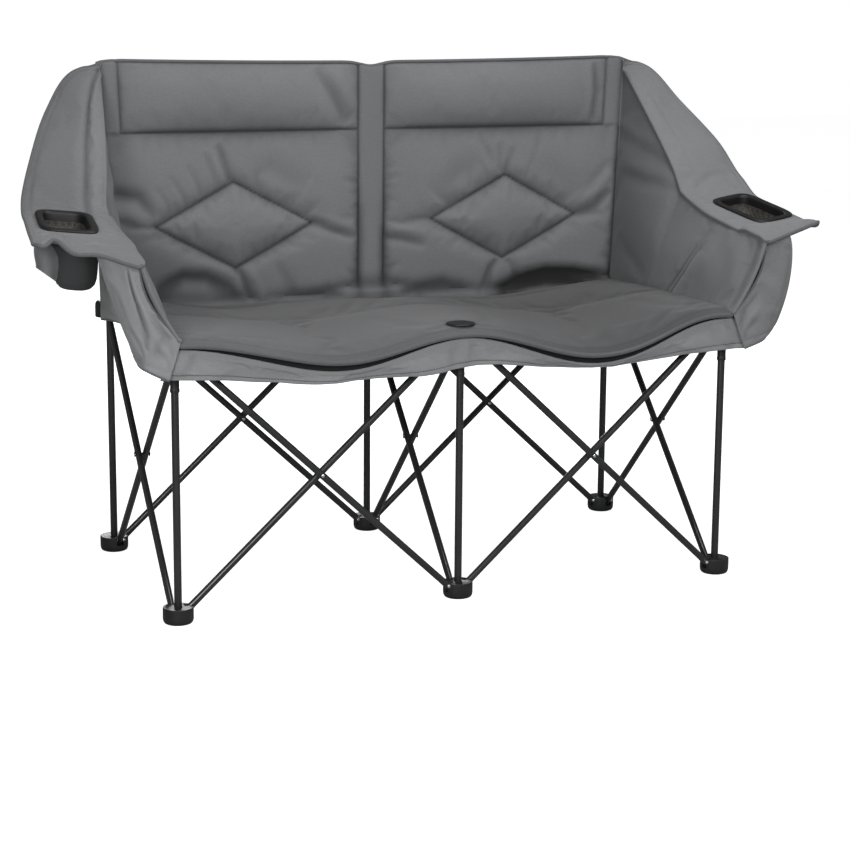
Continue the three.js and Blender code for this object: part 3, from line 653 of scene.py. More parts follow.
class NodeSheet:
    """A short way to lay out a material's nodes."""

    def __init__(self, name: str) -> None:
        """Starts a material with a shader and its output.

        Args:
            name: the material's name.
        """
        self.material = bpy.data.materials.new(name)
        self.material.use_nodes = True
        self.tree = self.material.node_tree
        self.shader = self.tree.nodes["Principled BSDF"]
        coords = self.tree.nodes.new("ShaderNodeTexCoord")
        self.place = coords.outputs["Object"]

    def link(self, source: bpy.types.NodeSocket, target: bpy.types.NodeSocket) -> None:
        """Joins two sockets."""
        self.tree.links.new(source, target)

    def number(self, operation: str, first: object, second: object = 0.5,
               third: object = 0.0) -> bpy.types.NodeSocket:
        """One sum on numbers or sockets.

        Args:
            operation: the name of the sum.
            first: a number or a socket.
            second: a number or a socket.
            third: a number or a socket.

        Returns:
            The result's socket.
        """
        node = self.tree.nodes.new("ShaderNodeMath")
        node.operation = operation
        for socket, value in zip(node.inputs, (first, second, third)):
            if isinstance(value, bpy.types.NodeSocket):
                self.link(value, socket)
            else:
                socket.default_value = float(value)
        return node.outputs[0]

    def noise(self, scale: float, detail: float = 2.0, stretch: tuple[float, float, float] | None = None,
              roughness: float = 0.5) -> bpy.types.NodeSocket:
        """A cloudy pattern in the piece's own space.

        Args:
            scale: how fine it is.
            detail: how many finer layers it has.
            stretch: its scale along each axis, if not even.
            roughness: how strong the finer layers are.

        Returns:
            A socket from 0 to 1.
        """
        node = self.tree.nodes.new("ShaderNodeTexNoise")
        node.inputs["Scale"].default_value = scale
        node.inputs["Detail"].default_value = detail
        node.inputs["Roughness"].default_value = roughness
        source = self.place
        if stretch is not None:
            mapping = self.tree.nodes.new("ShaderNodeMapping")
            mapping.inputs["Scale"].default_value = stretch
            self.link(self.place, mapping.inputs["Vector"])
            source = mapping.outputs["Vector"]
        self.link(source, node.inputs["Vector"])
        return node.outputs["Fac"]

    def held(self, value: bpy.types.NodeSocket) -> bpy.types.NodeSocket:
        """A number kept from 0 to 1.

        Args:
            value: the number's socket.

        Returns:
            The kept number's socket.
        """
        node = self.tree.nodes.new("ShaderNodeClamp")
        self.link(value, node.inputs["Value"])
        return node.outputs[0]

    def between(self, share: bpy.types.NodeSocket, low: object, high: object) -> bpy.types.NodeSocket:
        """A colour between two by a share.

        Args:
            share: a socket from 0 to 1.
            low: the colour at 0, or a socket.
            high: the colour at 1, or a socket.

        Returns:
            The colour's socket.
        """
        node = self.tree.nodes.new("ShaderNodeMix")
        node.data_type = "RGBA"
        self.link(share, node.inputs["Factor"])
        for socket, value in (("A", low), ("B", high)):
            if isinstance(value, bpy.types.NodeSocket):
                self.link(value, node.inputs[socket])
            else:
                node.inputs[socket].default_value = (*value, 1.0)
        return node.outputs["Result"]

    def feed(self, name: str, value: object) -> None:
        """Gives one input of the shader a number or a socket.

        Args:
            name: the input's name.
            value: a number or a socket.
        """
        if isinstance(value, bpy.types.NodeSocket):
            self.link(value, self.shader.inputs[name])
        else:
            self.shader.inputs[name].default_value = value

    def span(self, share: bpy.types.NodeSocket, low: float, high: float) -> bpy.types.NodeSocket:
        """A number between two by a share."""
        return self.number("MULTIPLY_ADD", share, high - low, low)

    def bump(self, height: bpy.types.NodeSocket, distance: float, strength: float) -> None:
        """Raises the surface by a pattern.

        Args:
            height: the pattern's socket.
            distance: the rise of a whole step, in metres.
            strength: how much of it shows.
        """
        node = self.tree.nodes.new("ShaderNodeBump")
        node.inputs["Strength"].default_value = strength
        node.inputs["Distance"].default_value = distance
        self.link(height, node.inputs["Height"])
        self.link(node.outputs["Normal"], self.shader.inputs["Normal"])

    def weave(self, pitch: float) -> bpy.types.NodeSocket:
        """A plain weave on whichever way the cloth faces.

        Args:
            pitch: width of one thread in metres.

        Returns:
            A socket from -1 between threads to 1 on them.
        """
        split = self.tree.nodes.new("ShaderNodeSeparateXYZ")
        self.link(self.place, split.inputs[0])
        waves = [self.number("SINE", self.number("MULTIPLY", axis, math.pi / pitch))
                 for axis in split.outputs]
        shape = self.tree.nodes.new("ShaderNodeNewGeometry")
        facing = self.tree.nodes.new("ShaderNodeSeparateXYZ")
        self.link(shape.outputs["Normal"], facing.inputs[0])
        total = None
        for k in range(3):
            pair = self.number("MULTIPLY", waves[(k + 1) % 3], waves[(k + 2) % 3])
            weight = self.number("ABSOLUTE", facing.outputs[k])
            part = self.number("MULTIPLY", pair, weight)
            total = part if total is None else self.number("ADD", total, part)
        return total


@dataclass(frozen=True)
class ClothFinish:
    """Woven polyester: its shades, thread and how much it varies, and how painted light and shade change its
    colour.
    """

    name: str
    dark: tuple[float, float, float]
    light: tuple[float, float, float]
    thread: float = 0.0011
    roughness: float = 0.86
    sheen: float = 0.18
    grain: float = 0.28
    # How strongly dark seam lines and painted shade darken the cloth, and the dark colour that they darken
    # it towards.
    seam_dark: float = 0.42
    hollow: tuple[float, float, float] = (0.012, 0.012, 0.013)

    def material(self) -> bpy.types.Material:
        """Lays out the cloth's nodes.

        Returns:
            The material.
        """
        sheet = NodeSheet(self.name)
        weave = sheet.weave(self.thread)
        broad = sheet.noise(5.0, 3.0)
        heather = sheet.noise(260.0, 3.0, roughness=0.7)
        slub = sheet.noise(90.0, 2.0, (1.0, 1.0, 6.0))
        share = sheet.number("MULTIPLY_ADD", weave, self.grain * 0.35, 0.5)
        share = sheet.number("ADD", share, sheet.span(broad, -0.22, 0.22))
        share = sheet.number("ADD", share, sheet.span(heather, -self.grain, self.grain))
        share = sheet.number("ADD", share, sheet.span(slub, -0.12, 0.12))
        # Painted light and shade from the point attribute: negative marks lighten the cloth, positive ones
        # darken it towards the dark hollow colour.
        marks = sheet.tree.nodes.new("ShaderNodeAttribute")
        marks.attribute_name = "seam_shade"
        painted_shading = sheet.held(sheet.number("MULTIPLY", marks.outputs["Fac"], -0.45))
        colour = sheet.between(sheet.held(sheet.number("ADD", share, painted_shading)), self.dark, self.light)
        depth = sheet.held(sheet.number("MULTIPLY", marks.outputs["Fac"], self.seam_dark))
        sheet.feed("Base Color", sheet.between(depth, colour, self.hollow))
        rough = sheet.span(heather, self.roughness - 0.08, self.roughness + 0.08)
        sheet.feed("Roughness", rough)
        sheet.feed("Sheen Weight", self.sheen)
        sheet.feed("Sheen Roughness", 0.5)
        sheet.feed("Specular IOR Level", 0.35)
        rumple = sheet.noise(38.0, 3.0)
        height = sheet.number("MULTIPLY_ADD", weave, 0.35, sheet.number("MULTIPLY", rumple, 1.6))
        height = sheet.number("MULTIPLY_ADD", heather, 0.5, height)
        sheet.bump(height, 0.0007, 0.45)
        return sheet.material


@dataclass(frozen=True)
class PaintFinish:
    """Glossy powder coat on steel tube."""

    name: str
    dark: tuple[float, float, float] = (0.010, 0.010, 0.011)
    light: tuple[float, float, float] = (0.030, 0.031, 0.033)

    def material(self) -> bpy.types.Material:
        """Lays out the paint's nodes.

        Returns:
            The material.
        """
        sheet = NodeSheet(self.name)
        broad = sheet.noise(14.0, 3.0)
        rub = sheet.noise(120.0, 4.0, (1.0, 1.0, 0.15), 0.7)
        colour = sheet.between(broad, self.dark, self.light)
        sheet.feed("Base Color", colour)
        sheet.feed("Roughness", sheet.span(rub, 0.2, 0.42))
        sheet.feed("Coat Weight", 0.35)
        sheet.feed("Coat Roughness", 0.16)
        sheet.bump(sheet.noise(900.0, 2.0), 0.00012, 0.35)
        return sheet.material


@dataclass(frozen=True)
class PlasticFinish:
    """Moulded black plastic with a fine grain."""

    name: str
    dark: tuple[float, float, float] = (0.006, 0.006, 0.007)
    light: tuple[float, float, float] = (0.022, 0.022, 0.024)
    roughness: float = 0.42

    def material(self) -> bpy.types.Material:
        """Lays out the plastic's nodes.

        Returns:
            The material.
        """
        sheet = NodeSheet(self.name)
        broad = sheet.noise(30.0, 3.0)
        grain = sheet.noise(1400.0, 2.0)
        sheet.feed("Base Color", sheet.between(broad, self.dark, self.light))
        sheet.feed("Roughness", sheet.span(broad, self.roughness - 0.1, self.roughness + 0.12))
        sheet.bump(grain, 0.00015, 0.5)
        return sheet.material


@dataclass(frozen=True)
class SteelFinish:
    """Bright zinc plate on rivets and guide tubes."""

    name: str

    def material(self) -> bpy.types.Material:
        """Lays out the metal's nodes.

        Returns:
            The material.
        """
        sheet = NodeSheet(self.name)
        cloud = sheet.noise(160.0, 3.0)
        sheet.feed("Base Color", sheet.between(cloud, (0.62, 0.63, 0.65), (0.82, 0.83, 0.84)))
        sheet.feed("Roughness", sheet.span(cloud, 0.18, 0.38))
        sheet.feed("Metallic", 1.0)
        sheet.bump(sheet.noise(700.0, 2.0), 0.0001, 0.3)
        return sheet.material


@dataclass(frozen=True)
class NettingFinish:
    """Open netting over brown-grey lining in the cup holders."""

    name: str
    cell: float = 0.0034

    def material(self) -> bpy.types.Material:
        """Lays out the netting's nodes.

        Returns:
            The material.
        """
        sheet = NodeSheet(self.name)
        cells = sheet.tree.nodes.new("ShaderNodeTexVoronoi")
        cells.feature = "DISTANCE_TO_EDGE"
        cells.inputs["Scale"].default_value = 1.0 / self.cell
        cells.inputs["Randomness"].default_value = 0.35
        sheet.link(sheet.place, cells.inputs["Vector"])
        share = sheet.number("MULTIPLY", cells.outputs["Distance"], 3.0)
        share = sheet.number("MULTIPLY_ADD", sheet.noise(60.0, 3.0), 0.6, share)
        share = sheet.held(sheet.number("SUBTRACT", share, 0.3))
        colour = sheet.between(share, (0.018, 0.018, 0.019), (0.125, 0.112, 0.095))
        sheet.feed("Base Color", colour)
        sheet.feed("Roughness", 0.8)
        sheet.bump(cells.outputs["Distance"], 0.0008, 0.6)
        return sheet.material


class Finishes:
    """Every finish of the loveseat, made once."""

    def __init__(self) -> None:
        """Makes the materials."""
        grey_dark, grey_light = (0.122, 0.125, 0.130), (0.222, 0.226, 0.233)
        self.cloth = ClothFinish("grey_woven_cloth", grey_dark, grey_light).material()
        # The seat's cloth is the grey cloth made darker: painted shade over the whole seat.
        self.seat = ClothFinish("grey_seat_cloth", (0.060, 0.061, 0.064), (0.158, 0.161, 0.166),
                                seam_dark=0.74, grain=0.22).material()
        # The cover's cloth is lighter than the grey cloth: partly a lighter fabric, partly painted light on
        # the arms' outer covers, the hanging flaps and the strip under the seat.
        self.cover = ClothFinish("grey_cover_cloth", (0.142, 0.145, 0.150), (0.258, 0.262, 0.269),
                                 thread=0.0010).material()
        self.trim = ClothFinish("grey_edge_tape", (0.085, 0.087, 0.091), (0.160, 0.163, 0.169),
                                thread=0.0009, sheen=0.1).material()
        self.pouch = ClothFinish("dark_pouch_cloth", (0.030, 0.031, 0.032), (0.074, 0.075, 0.078),
                                 thread=0.0010, sheen=0.05).material()
        self.lining = ClothFinish("black_lining", (0.006, 0.006, 0.007), (0.018, 0.018, 0.019),
                                  thread=0.0010, sheen=0.0).material()
        self.thread = ClothFinish("grey_thread", (0.050, 0.052, 0.055), (0.100, 0.102, 0.108),
                                  thread=0.0005, sheen=0.05).material()
        self.paint = PaintFinish("black_powder_coat").material()
        self.plastic = PlasticFinish("black_moulded_plastic").material()
        self.rim = PlasticFinish("black_rim_plastic", (0.004, 0.004, 0.004), (0.011, 0.011, 0.012),
                                 roughness=0.5).material()
        self.steel = SteelFinish("bright_zinc").material()
        self.netting = NettingFinish("cup_netting").material()


# Frame


class Side(Enum):
    """The two ends of the loveseat."""

    LEFT = -1
    RIGHT = 1

    @property
    def word(self) -> str:
        """The side's name in lower case."""
        return self.name.lower()


class Level(Enum):
    """Where a drum of plastic sits on its post."""

    FOOT = "foot"
    HUB = "hub"


@dataclass(frozen=True)
class Bay:
    """Sizes of the grid of posts, in millimetres."""

    width: float = 500.0
    depth: float = 500.0
    pivot_inset: float = 21.5
    low_pivot: float = 23.4
    high_pivot: float = 450.0
    hub_top: float = 473.4
    post_top: float = 885.0
    brace_offset: float = 6.4

    def post(self, row: str, column: str) -> Points:
        """The foot of one post.

        Args:
            row: front or back.
            column: left, middle or right.

        Returns:
            Its place on the ground.
        """
        x = {"left": -self.width, "middle": 0.0, "right": self.width}[column]
        y = {"front": -self.depth / 2, "back": self.depth / 2}[row]
        return np.array([x, y, 0.0])


BAY = Bay()
BODIES = frame["record"]["behaviour"]["bodies"]
BODY_OF = {node: body for body, nodes in BODIES.items() for node in nodes}


@dataclass(frozen=True)
class Cross:
    """A pair of braces between two posts."""

    name: str
    start_post: tuple[str, str]
    end_post: tuple[str, str]

    @property
    def start(self) -> Points:
        """The post that the first brace rises from."""
        return BAY.post(*self.start_post)

    @property
    def end(self) -> Points:
        """The post that the first brace rises to."""
        return BAY.post(*self.end_post)

    @property
    def along(self) -> Points:
        """From the first post to the second."""
        return unit(self.end - self.start)

    @property
    def across(self) -> Points:
        """Level and square to the cross."""
        return np.cross((0.0, 0.0, 1.0), self.along)


CROSSES = (
    Cross("middle", ("back", "middle"), ("front", "middle")),
    Cross("back_left", ("back", "middle"), ("back", "left")),
    Cross("back_right", ("back", "middle"), ("back", "right")),
    Cross("front_left", ("front", "middle"), ("front", "left")),
    Cross("front_right", ("front", "middle"), ("front", "right")),
    Cross("side_left", ("back", "left"), ("front", "left")),
    Cross("side_right", ("back", "right"), ("front", "right")),
)


@dataclass
class Tubework:
    """Posts, legs, braces, rivets and arm tubes."""

    finishes: Finishes
    post_radius: float = 6.5
    guide_radius: float = 5.0
    brace_radius: float = 6.0
    brace_end: float = 7.0
    post_bottom: float = 4.3
    leg_top: float = 452.0
    guide_bottom: float = 235.0
    arm_radius: float = 8.0
    arm_length: float = 158.0
    arm_offset: float = 19.0
    arm_seat: float = 6.0
    arm_lean: float = 20.8
    arm_forward: float = 4.6
    rivet_seat: float = 12.7
    rivet_head: float = 5.0
    rivet_rise: float = 2.0
    dome_radius: float = 3.2
    sides: int = 32

    def rod(self, start: Points, end: Points, radius: float) -> Shape:
        """A round bar with eased ends.

        Args:
            start: the middle of one end.
            end: the middle of the other.
            radius: half its width.

        Returns:
            The points and the faces.
        """
        length = float(np.linalg.norm(end - start))
        ease_by = min(1.2, radius * 0.3)
        profile = rounded([(0, 0, 0), (radius, 0, ease_by), (radius, length, ease_by), (0, length, 0)], 3)
        points, faces = lathe(profile, self.sides)
        return aimed(points, start, end - start), faces

    def place(self, name: str, node: str, shape: Shape, finish: bpy.types.Material,
              slot: str) -> None:
        """Makes a piece that stands for a node and rides on its body.

        Args:
            name: its name.
            node: the node that it stands for.
            shape: its points and faces.
            finish: its material.
            slot: not used.
        """
        piece = make_piece(name, *shape, finish, crisp=HARD_EDGE)
        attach(piece, BODY_OF[node])
        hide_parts(node)

    def build(self) -> None:
        """Makes every tube."""
        paint, steel = (self.finishes.paint, "black_tube"), (self.finishes.steel, "bright_steel")
        thick, thin = self.post_radius, self.guide_radius
        for column in COLUMNS:
            for name, node, row, low, high, radius, look in (
                ("back_post", "post_back", "back", self.post_bottom, BAY.post_top, thick, paint),
                ("front_leg", "leg_front", "front", self.post_bottom, self.leg_top, thick, paint),
                ("leg_guide", "guide_tube", "front", self.guide_bottom, BAY.hub_top, thin, steel),
            ):
                foot = BAY.post(row, column)
                shape = self.rod(foot + (0.0, 0.0, low), foot + (0.0, 0.0, high), radius)
                self.place(f"{name}_{column}", f"{node}_{column}", shape, *look)
        for cross in CROSSES:
            self.brace(cross, True)
            self.brace(cross, False)
            self.crossing(cross)
        for side in Side:
            self.arm(side)
        LOG.info("tubes: posts, legs, 14 braces, 2 arm tubes")

    def brace(self, cross: Cross, first: bool) -> None:
        """One brace, pressed a little flat where its rivets pass.

        Args:
            cross: the pair of braces.
            first: whether it is brace a.
        """
        inset = cross.along * BAY.pivot_inset
        near, far = cross.start + inset, cross.end - inset
        low = (near if first else far) + (0.0, 0.0, BAY.low_pivot)
        high = (far if first else near) + (0.0, 0.0, BAY.high_pivot)
        shift = cross.across * (BAY.brace_offset if first else -BAY.brace_offset)
        low, high = low + shift, high + shift
        axis = unit(high - low)
        length = float(np.linalg.norm(high - low))
        end, half = self.brace_end, length / 2
        stations = np.unique(np.concatenate([
            [-end, -end + 0.5, -end + 1.4], np.linspace(-end + 3, 34, 12), np.linspace(34, half - 24, 6),
            np.linspace(half - 24, half + 24, 13), np.linspace(half + 24, length - 34, 6),
            np.linspace(length - 34, length + end - 3, 12),
            [length + end - 1.4, length + end - 0.5, length + end],
        ]))
        nearest = np.abs(stations[:, None] - np.array([0.0, half, length])).min(1)
        press = bell(nearest, 13.0) * np.where(np.abs(stations - half) < 40, 0.035, 0.10)
        round_off = np.clip(np.minimum(stations + end, length + end - stations) / 1.4, 0.0, 1.0)
        shrink = 1.0 - 0.16 * (1.0 - round_off) ** 2
        thin = self.brace_radius * (1.0 - press) * shrink
        wide = self.brace_radius * (1.0 + press * 0.35) * shrink
        flank = np.cross(axis, cross.across)
        angles = np.linspace(0, 2 * np.pi, self.sides, endpoint=False)
        ring = (np.cos(angles)[None, :, None] * cross.across * thin[:, None, None]
                + np.sin(angles)[None, :, None] * flank * wide[:, None, None])
        points = ((low + axis * stations[:, None])[:, None] + ring).reshape(-1, 3)
        shape = (points, tube_faces(len(stations), self.sides))
        node = f"brace_{cross.name}_{'a' if first else 'b'}"
        self.place(f"scissor_{node}", node, shape, self.finishes.paint, "black_tube")

    def crossing(self, cross: Cross) -> None:
        """The rivet with domed heads where two braces cross.

        Args:
            cross: the pair of braces.
        """
        middle = (cross.start + cross.end) / 2 + (0.0, 0.0, (BAY.low_pivot + BAY.high_pivot) / 2)
        seat, head, rise = self.rivet_seat, self.rivet_head, self.rivet_rise
        washer = [(head, seat, 0.2), (head, seat + rise * 0.45, 0.4)]
        outline = [(0, -seat - rise * 0.45, 0), *((r, -h, e) for r, h, e in reversed(washer))]
        outline += [(2.5, -seat, 0), (2.5, seat, 0), *washer, (0, seat + rise * 0.45, 0)]
        points, faces = lathe(rounded(outline, 2), 28)
        self.place(f"crossing_washers_{cross.name}", f"rivet_{cross.name}",
                   (aimed(points, middle, cross.across), faces), self.finishes.plastic, "bright_steel")
        cap = self.dome_radius
        dome = [(cap, seat + 0.2, 0), (cap, seat + rise * 0.6, 0.5), (cap * 0.6, seat + rise * 0.95, 0.6)]
        top = [(0, seat + 0.2, 0), *dome, (0, seat + rise, 0)]
        parts = []
        for way in (1, -1):
            points, faces = lathe(rounded(top, 3), 24)
            parts.append((aimed(points, middle, cross.across * way), faces))
        domes = make_piece(f"crossing_rivet_{cross.name}", *merged(parts), self.finishes.steel,
                           crisp=HARD_EDGE)
        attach(domes, BODY_OF[f"rivet_{cross.name}"])

    def arm_line(self, side: Side) -> tuple[Points, Points]:
        """The foot and the direction of an arm tube.

        Args:
            side: the end of the seat.

        Returns:
            The point and the direction.
        """
        shift = (side.value * self.arm_offset, 0.0, BAY.high_pivot + self.arm_seat)
        start = BAY.post("front", side.word) + shift
        lean, forward = math.radians(self.arm_lean), math.radians(self.arm_forward)
        return start, unit(np.array([side.value * math.tan(lean), -math.tan(forward), 1.0]))

    def arm(self, side: Side) -> None:
        """The tube that holds up one arm rest.

        Args:
            side: the end of the seat.
        """
        start, along = self.arm_line(side)
        end = start + along * self.arm_length
        self.place(f"arm_support_{side.word}", f"arm_tube_{side.word}",
                   self.rod(start, end, self.arm_radius), self.finishes.paint, "black_tube")


@dataclass
class PlasticDrums:
    """The feet and hubs that hold the braces, and the disc on the seat."""

    finishes: Finishes
    tubes: Tubework
    radius: float = 26.0
    height: float = 30.0
    foot_height: float = 28.0
    floor: float = 12.0
    slot_inner: float = 11.0
    slot_width: float = 13.0
    edge_round: float = 6.0
    socket: float = 6.8
    skirt_radius: float = 8.0
    skirt_length: float = 51.0
    boss_radius: float = 11.5
    boss_length: float = 26.0
    boss_depth: float = 4.0
    boss_bore: float = 8.3
    boss_hollow: float = 6.0
    pin_radius: float = 3.3
    shank_radius: float = 2.4
    disc_radius: float = 25.0
    disc_thickness: float = 3.5

    def slots(self, row: str, column: str, level: Level) -> list[tuple[Points, Points, float]]:
        """The slots of one drum: which way each runs, square to that, and on which side.

        Args:
            row: front or back.
            column: left, middle or right.
            level: foot or hub.

        Returns:
            Direction, square direction and offset of each slot.
        """
        upper = level is Level.HUB
        found = []
        for cross in CROSSES:
            if cross.start_post == (row, column):
                found.append((cross.along, cross.across, -BAY.brace_offset if upper else BAY.brace_offset))
            if cross.end_post == (row, column):
                found.append((-cross.along, cross.across, BAY.brace_offset if upper else -BAY.brace_offset))
        return found

    def blank(self, level: Level) -> Shape:
        """A drum before it is cut, rounded at its closed end and lipped at its open one.

        Args:
            level: foot or hub.

        Returns:
            The points and the faces.
        """
        r, h = self.radius, self.height if level is Level.HUB else self.foot_height
        outline = [(0, 0, 0), (r - 1.5, 0, self.edge_round), (r, h * 0.3, 2.0), (r, h, 1.0),
                   (r - 3, h, 0), (0, h, 0)]
        points, faces = lathe(rounded(outline, 5), 72)
        if level is Level.HUB:
            points = points * (1, 1, -1) + (0, 0, h)
        return points, faces

    def cutters(self, row: str, column: str, level: Level) -> list[Shape]:
        """A block for each slot and a rod for the post.

        Args:
            row: front or back.
            column: left, middle or right.
            level: foot or hub.

        Returns:
            The blocks.
        """
        low, high = (self.floor, self.height + 5) if level is Level.FOOT else (-5, self.height - self.floor)
        near, far = self.slot_inner, self.radius + 5
        blocks = []
        for along, across, offset in self.slots(row, column, level):
            corners = []
            for z in (low, high):
                for a, c in ((near, -1), (far, -1), (far, 1), (near, 1)):
                    corners.append(along * a + across * (offset + c * self.slot_width / 2) + (0, 0, z))
            faces = [[0, 1, 2, 3], [4, 5, 6, 7], [0, 1, 5, 4], [1, 2, 6, 5], [2, 3, 7, 6], [3, 0, 4, 7]]
            blocks.append((np.array(corners), faces))
        bottom, top = (4 if level is Level.FOOT else -5), self.height + 5
        blocks.append(lathe([(0, bottom), (self.socket, bottom), (self.socket, top), (0, top)], 40))
        return blocks

    def cut(self, shape: Shape, blocks: list[Shape], edge: float) -> bpy.types.Mesh:
        """Takes blocks out of a shape and eases the new edges.

        Args:
            shape: the solid that is cut.
            blocks: what is taken out.
            edge: width of the eased edges in millimetres.

        Returns:
            The finished mesh.
        """
        body = make_piece("drum_blank", *shape, self.finishes.plastic, crisp=HARD_EDGE)
        tools = []
        for block in blocks:
            tool = make_piece("drum_cutter", *block, self.finishes.plastic, crisp=HARD_EDGE)
            tools.append(tool)
            cutter = body.modifiers.new("slot", "BOOLEAN")
            cutter.operation = "DIFFERENCE"
            cutter.solver = "EXACT"
            cutter.object = tool
        eased = body.modifiers.new("edges", "BEVEL")
        eased.width = edge * MM
        eased.segments = 2
        eased.limit_method = "ANGLE"
        eased.angle_limit = math.radians(50)
        eased.harden_normals = False
        graph = bpy.context.evaluated_depsgraph_get()
        mesh = bpy.data.meshes.new_from_object(body.evaluated_get(graph))
        for gone in (body, *tools):
            data = gone.data
            bpy.data.objects.remove(gone)
            bpy.data.meshes.remove(data)
        return mesh

    def rivet(self, place: Points, out: Points) -> Shape:
        """The domed end of a brace's rivet.

        Args:
            place: the middle of its head.
            out: the way it points.

        Returns:
            The points and the faces.
        """
        r = self.pin_radius
        outline = [(0, -4, 0), (r, -4, 0), (r, 0.4, 0.6), (r * 0.6, 1.5, 0.5), (0, 1.7, 0)]
        points, faces = lathe(rounded(outline, 3), 22)
        return aimed(points, place, out), faces

    def drum(self, row: str, column: str, level: Level) -> None:
        """One foot or hub with its rivets.

        Args:
            row: front or back.
            column: left, middle or right.
            level: foot or hub.
        """
        post = BAY.post(row, column)
        base = post + (0, 0, 0.0 if level is Level.FOOT else BAY.hub_top - self.height)
        if level is Level.FOOT:
            node, name = f"foot_{row}_{column}", f"drum_foot_{row}_{column}"
        elif row == "back":
            node, name = f"slide_hub_{column}", f"drum_slider_{column}"
        else:
            node, name = f"front_hub_{column}", f"drum_front_{column}"
        mesh = self.cut(self.blank(level), self.cutters(row, column, level), 0.5)
        mesh.transform(Matrix.Translation(Vector(base * MM)))
        mesh.polygons.foreach_set("use_smooth", np.ones(len(mesh.polygons), bool))
        mesh.set_sharp_from_angle(angle=math.radians(HARD_EDGE))
        mesh.name = name
        piece = bpy.data.objects.new(name, mesh)
        bpy.context.scene.collection.objects.link(piece)
        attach(piece, BODY_OF[node])
        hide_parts(node)
        pivot = BAY.low_pivot if level is Level.FOOT else BAY.high_pivot
        rivets = []
        for along, across, offset in self.slots(row, column, level):
            outward = math.copysign(1.0, offset)
            face = math.sqrt(self.radius ** 2 - BAY.pivot_inset ** 2)
            middle = post + along * BAY.pivot_inset + (0, 0, pivot)
            rivets.append(self.rivet(middle + across * (outward * (face + 0.3)), across * outward))
            pin_from, pin_to = middle + across * (offset - outward * 8), middle + across * (outward * face)
            rivets.append(self.tubes.rod(pin_from, pin_to, self.shank_radius))
        pins = make_piece(f"{name}_rivets", *merged(rivets), self.finishes.steel, crisp=HARD_EDGE)
        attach(pins, BODY_OF[node])
        if node.startswith("front_hub"):
            self.sleeve(column, node)

    def sleeve(self, column: str, node: str) -> None:
        """The sleeve under a front hub, and the cup for an arm tube.

        Args:
            column: left, middle or right.
            node: the hub's node.
        """
        post = BAY.post("front", column)
        low = BAY.hub_top - self.height - self.skirt_length
        r, length = self.skirt_radius, self.skirt_length + 1
        outline = [(0, 0, 0), (self.socket, 0, 0), (r, 0, 0.5), (r, 5, 0.3), (r - 0.4, 6, 0.3),
                   (r - 0.4, length, 0), (0, length, 0)]
        points, faces = lathe(rounded(outline, 2), 40)
        parts = [(points + post + (0, 0, low), faces)]
        if column != "middle":
            side = Side[column.upper()]
            start, along = self.tubes.arm_line(side)
            top = self.boss_length
            outline = [(0, 0, 0), (self.boss_radius, 0, 2.0), (self.boss_radius, top, 1.2),
                       (self.boss_bore, top, 0.3), (self.boss_bore, top - self.boss_hollow, 0),
                       (0, top - self.boss_hollow, 0)]
            points, faces = lathe(rounded(outline, 3), 48)
            parts.append((aimed(points, start - along * self.boss_depth, along), faces))
        piece = make_piece(f"hub_sleeve_{column}", *merged(parts), self.finishes.plastic, crisp=HARD_EDGE)
        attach(piece, BODY_OF[node])

    def disc(self) -> None:
        """The disc that clamps the seat, with its stem."""
        low, high = (corner.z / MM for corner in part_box("clamp_disc"))
        under = high - self.disc_thickness
        r = self.disc_radius
        outline = [(0, low, 0), (3.5, low, 0.6), (3.5, under, 0), (r, under, 0.4), (r, under + 2.4, 1.2),
                   (r - 5, high, 1.5), (r - 8, high, 0.4), (r - 9, high - 0.6, 0.4), (0, high - 0.6, 0)]
        points, faces = lathe(rounded(outline, 4), 72)
        self.tubes.place("seat_clamp_disc", "clamp_disc", (points + BAY.post("front", "middle"), faces),
                         self.finishes.plastic, "black_plastic")

    def build(self) -> None:
        """Makes the twelve drums and the disc."""
        for column in COLUMNS:
            for row in ("front", "back"):
                self.drum(row, column, Level.FOOT)
                self.drum(row, column, Level.HUB)
        self.disc()
        LOG.info("plastic: 6 feet, 6 hubs, 1 disc")


# Cloth


@dataclass(frozen=True)
class ClothLines:
    """Places that seat, back and arms share, in millimetres."""

    seat_height: float = 481.0
    side_inner: float = 497.0
    side_gap: float = 0.8
    side_lean: float = 17.0
    back_rear: float = 240.0
    back_bottom: float = 475.0
    back_top: float = 900.0
    strip_thickness: float = 13.0
    wing_top: float = 907.0
    arm_height: float = 612.0
    seat_front: float = -287.0
    seat_rear: float = 213.0
    seat_split: float = -22.5
    cover_bottom: float = 420.0

    @property
    def back_corner_front(self) -> float:
        """Front of the back panel at its corners."""
        return self.back_rear - self.strip_thickness

    @property
    def seat_half(self) -> float:
        """Half the seat's width."""
        return self.side_inner - self.side_gap

    def side_line(self, z: Points) -> Points:
        """Half the back's width at a height."""
        return self.side_inner + self.side_lean * (z - self.back_bottom) / (self.wing_top - self.back_bottom)


LINES = ClothLines()


